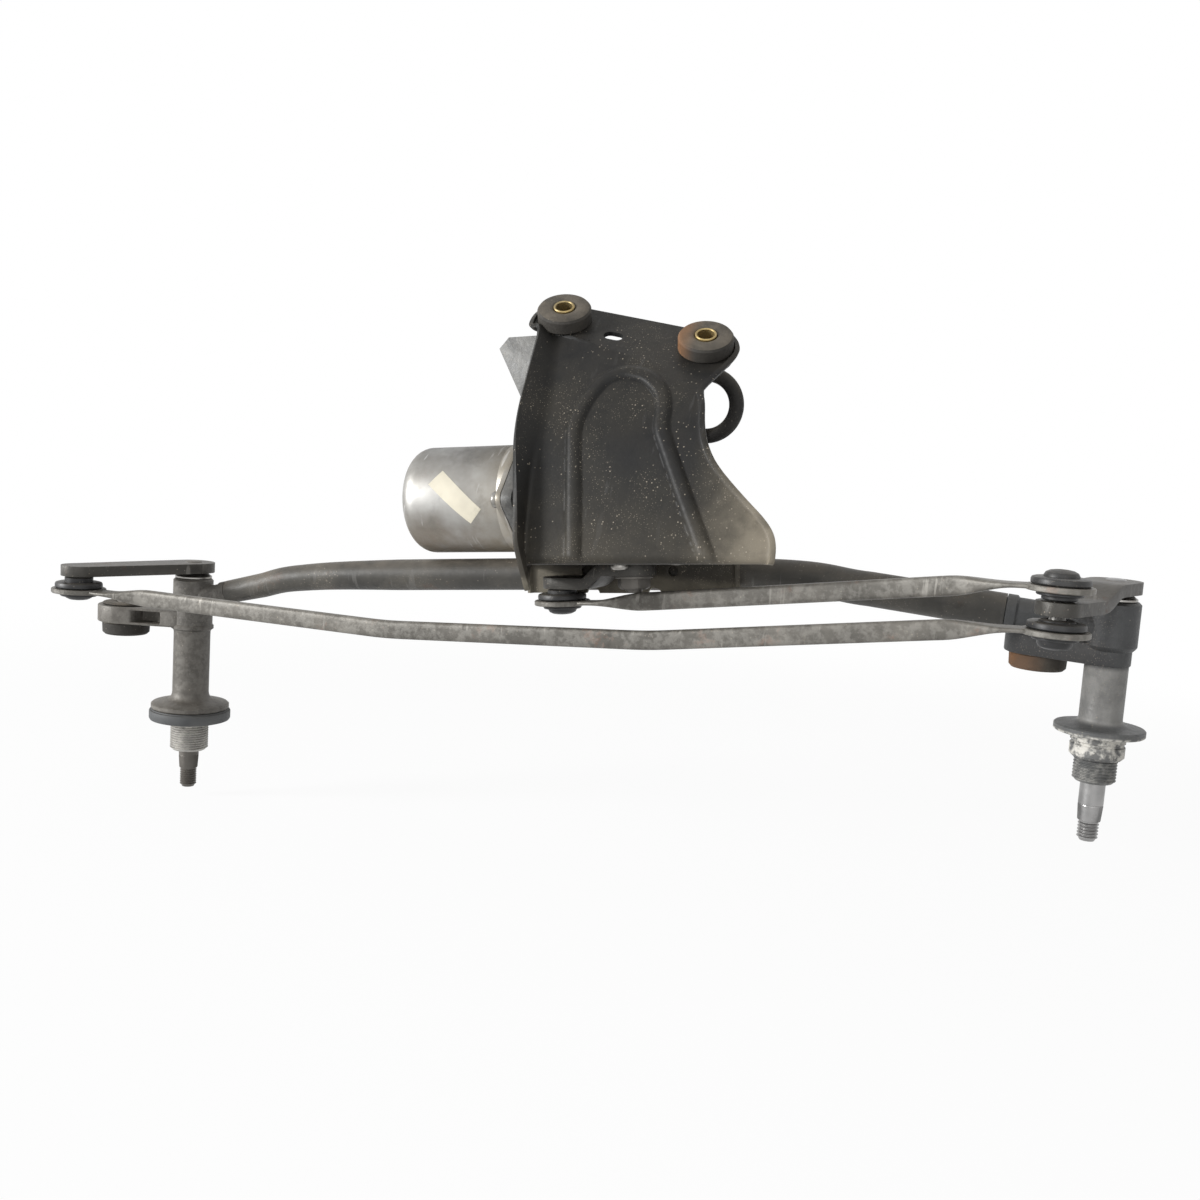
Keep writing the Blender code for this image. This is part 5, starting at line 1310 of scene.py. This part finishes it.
class WIPER_OT_stage(bpy.types.Operator):
    """Finishes, camera at the picture's angle, pale floor, even sky and two soft lamps."""

    bl_idname = "wiper.stage"
    bl_label = "Stage"

    def execute(self, context):
        scene = context.scene
        stage = scene.wiper_stage
        white = (1, 1, 1)
        scene.view_settings.view_transform = "Standard"
        make_finishes()

        bpy.ops.object.camera_add()
        camera = context.object
        camera.matrix_world = viewpoint()
        camera.data.lens = stage.lens
        camera.data.sensor_width = 36
        camera.data.clip_start = 0.01
        scene.camera = camera

        floor = start("floor", bpy.ops.mesh.primitive_plane_add, size=30, location=(0, 0, -166 * MM))
        floor.data.materials.append(bpy.data.materials.new("floor"))
        paint = Paint(floor.data.materials[0])
        matt = paint.node("ShaderNodeBsdfDiffuse", {}, {"Color": stage.floor})
        bright = paint.node("ShaderNodeEmission", {}, {"Color": white, "Strength": 1.0})
        distance = paint.node("ShaderNodeVectorMath", {"operation": "LENGTH"}, {0: paint.place}, "Value")
        share = paint.looked_at() * (distance.step(0.5, 1.1) * 0.07 + 0.93)
        cover = paint.node("ShaderNodeMixShader", {}, {0: share, 1: matt, 2: bright})
        paint.put("Material Output", Surface=cover)

        scene.world = bpy.data.worlds.new("sky")
        sky = Paint(scene.world)
        sky.put("Background", Color=white, Strength=sky.looked_at() * (1 - stage.sky) + stage.sky)

        for name, (spot, wide), power in (("key", KEY_LAMP, stage.key), ("fill", FILL_LAMP, stage.fill)):
            bpy.ops.object.light_add(type="AREA", location=spot)
            lamp = context.object
            lamp.name = name
            lamp.data.size = wide
            lamp.data.energy = power
            lamp.rotation_euler = (-Vector(spot)).to_track_quat("-Z", "Y").to_euler()
        return {"FINISHED"}


class WIPER_PT_build(bpy.types.Panel):
    """Lists the steps of the build, with its sizes and colours."""

    bl_idname = "WIPER_PT_build"
    bl_label = "Wiper assembly"
    bl_space_type = "VIEW_3D"
    bl_region_type = "UI"
    bl_category = "Wiper"

    def draw(self, context):
        for operator in OPERATORS:
            self.layout.operator(operator.bl_idname)
        for name in GROUPS:
            group = getattr(context.scene, name)
            for key in group.__annotations__:
                self.layout.prop(group, key)


OPERATORS = (
    WIPER_OT_stage,
    WIPER_OT_lead,
    WIPER_OT_tube,
    WIPER_OT_pivots,
    WIPER_OT_spindles,
    WIPER_OT_levers,
    WIPER_OT_links,
    WIPER_OT_bushes,
    WIPER_OT_bracket,
    WIPER_OT_motor,
    WIPER_OT_inside,
)
GROUPS = {"wiper_sizes": WiperSizes, "wiper_colours": WiperColours, "wiper_stage": WiperStage}


def register():
    for made in (*GROUPS.values(), *OPERATORS, WIPER_PT_build):
        bpy.utils.register_class(made)
    for key, group in GROUPS.items():
        setattr(bpy.types.Scene, key, PointerProperty(type=group))


def unregister():
    for key in GROUPS:
        delattr(bpy.types.Scene, key)
    for made in (WIPER_PT_build, *reversed(OPERATORS), *reversed(GROUPS.values())):
        bpy.utils.unregister_class(made)


def main():
    register()
    bpy.ops.wiper.stage()
    bpy.ops.wiper.lead()
    bpy.ops.wiper.tube()
    bpy.ops.wiper.pivots()
    bpy.ops.wiper.spindles()
    bpy.ops.wiper.levers()
    bpy.ops.wiper.links()
    bpy.ops.wiper.bushes()
    bpy.ops.wiper.bracket()
    bpy.ops.wiper.motor()
    bpy.ops.wiper.inside()


if __name__ == "__main__":
    main()
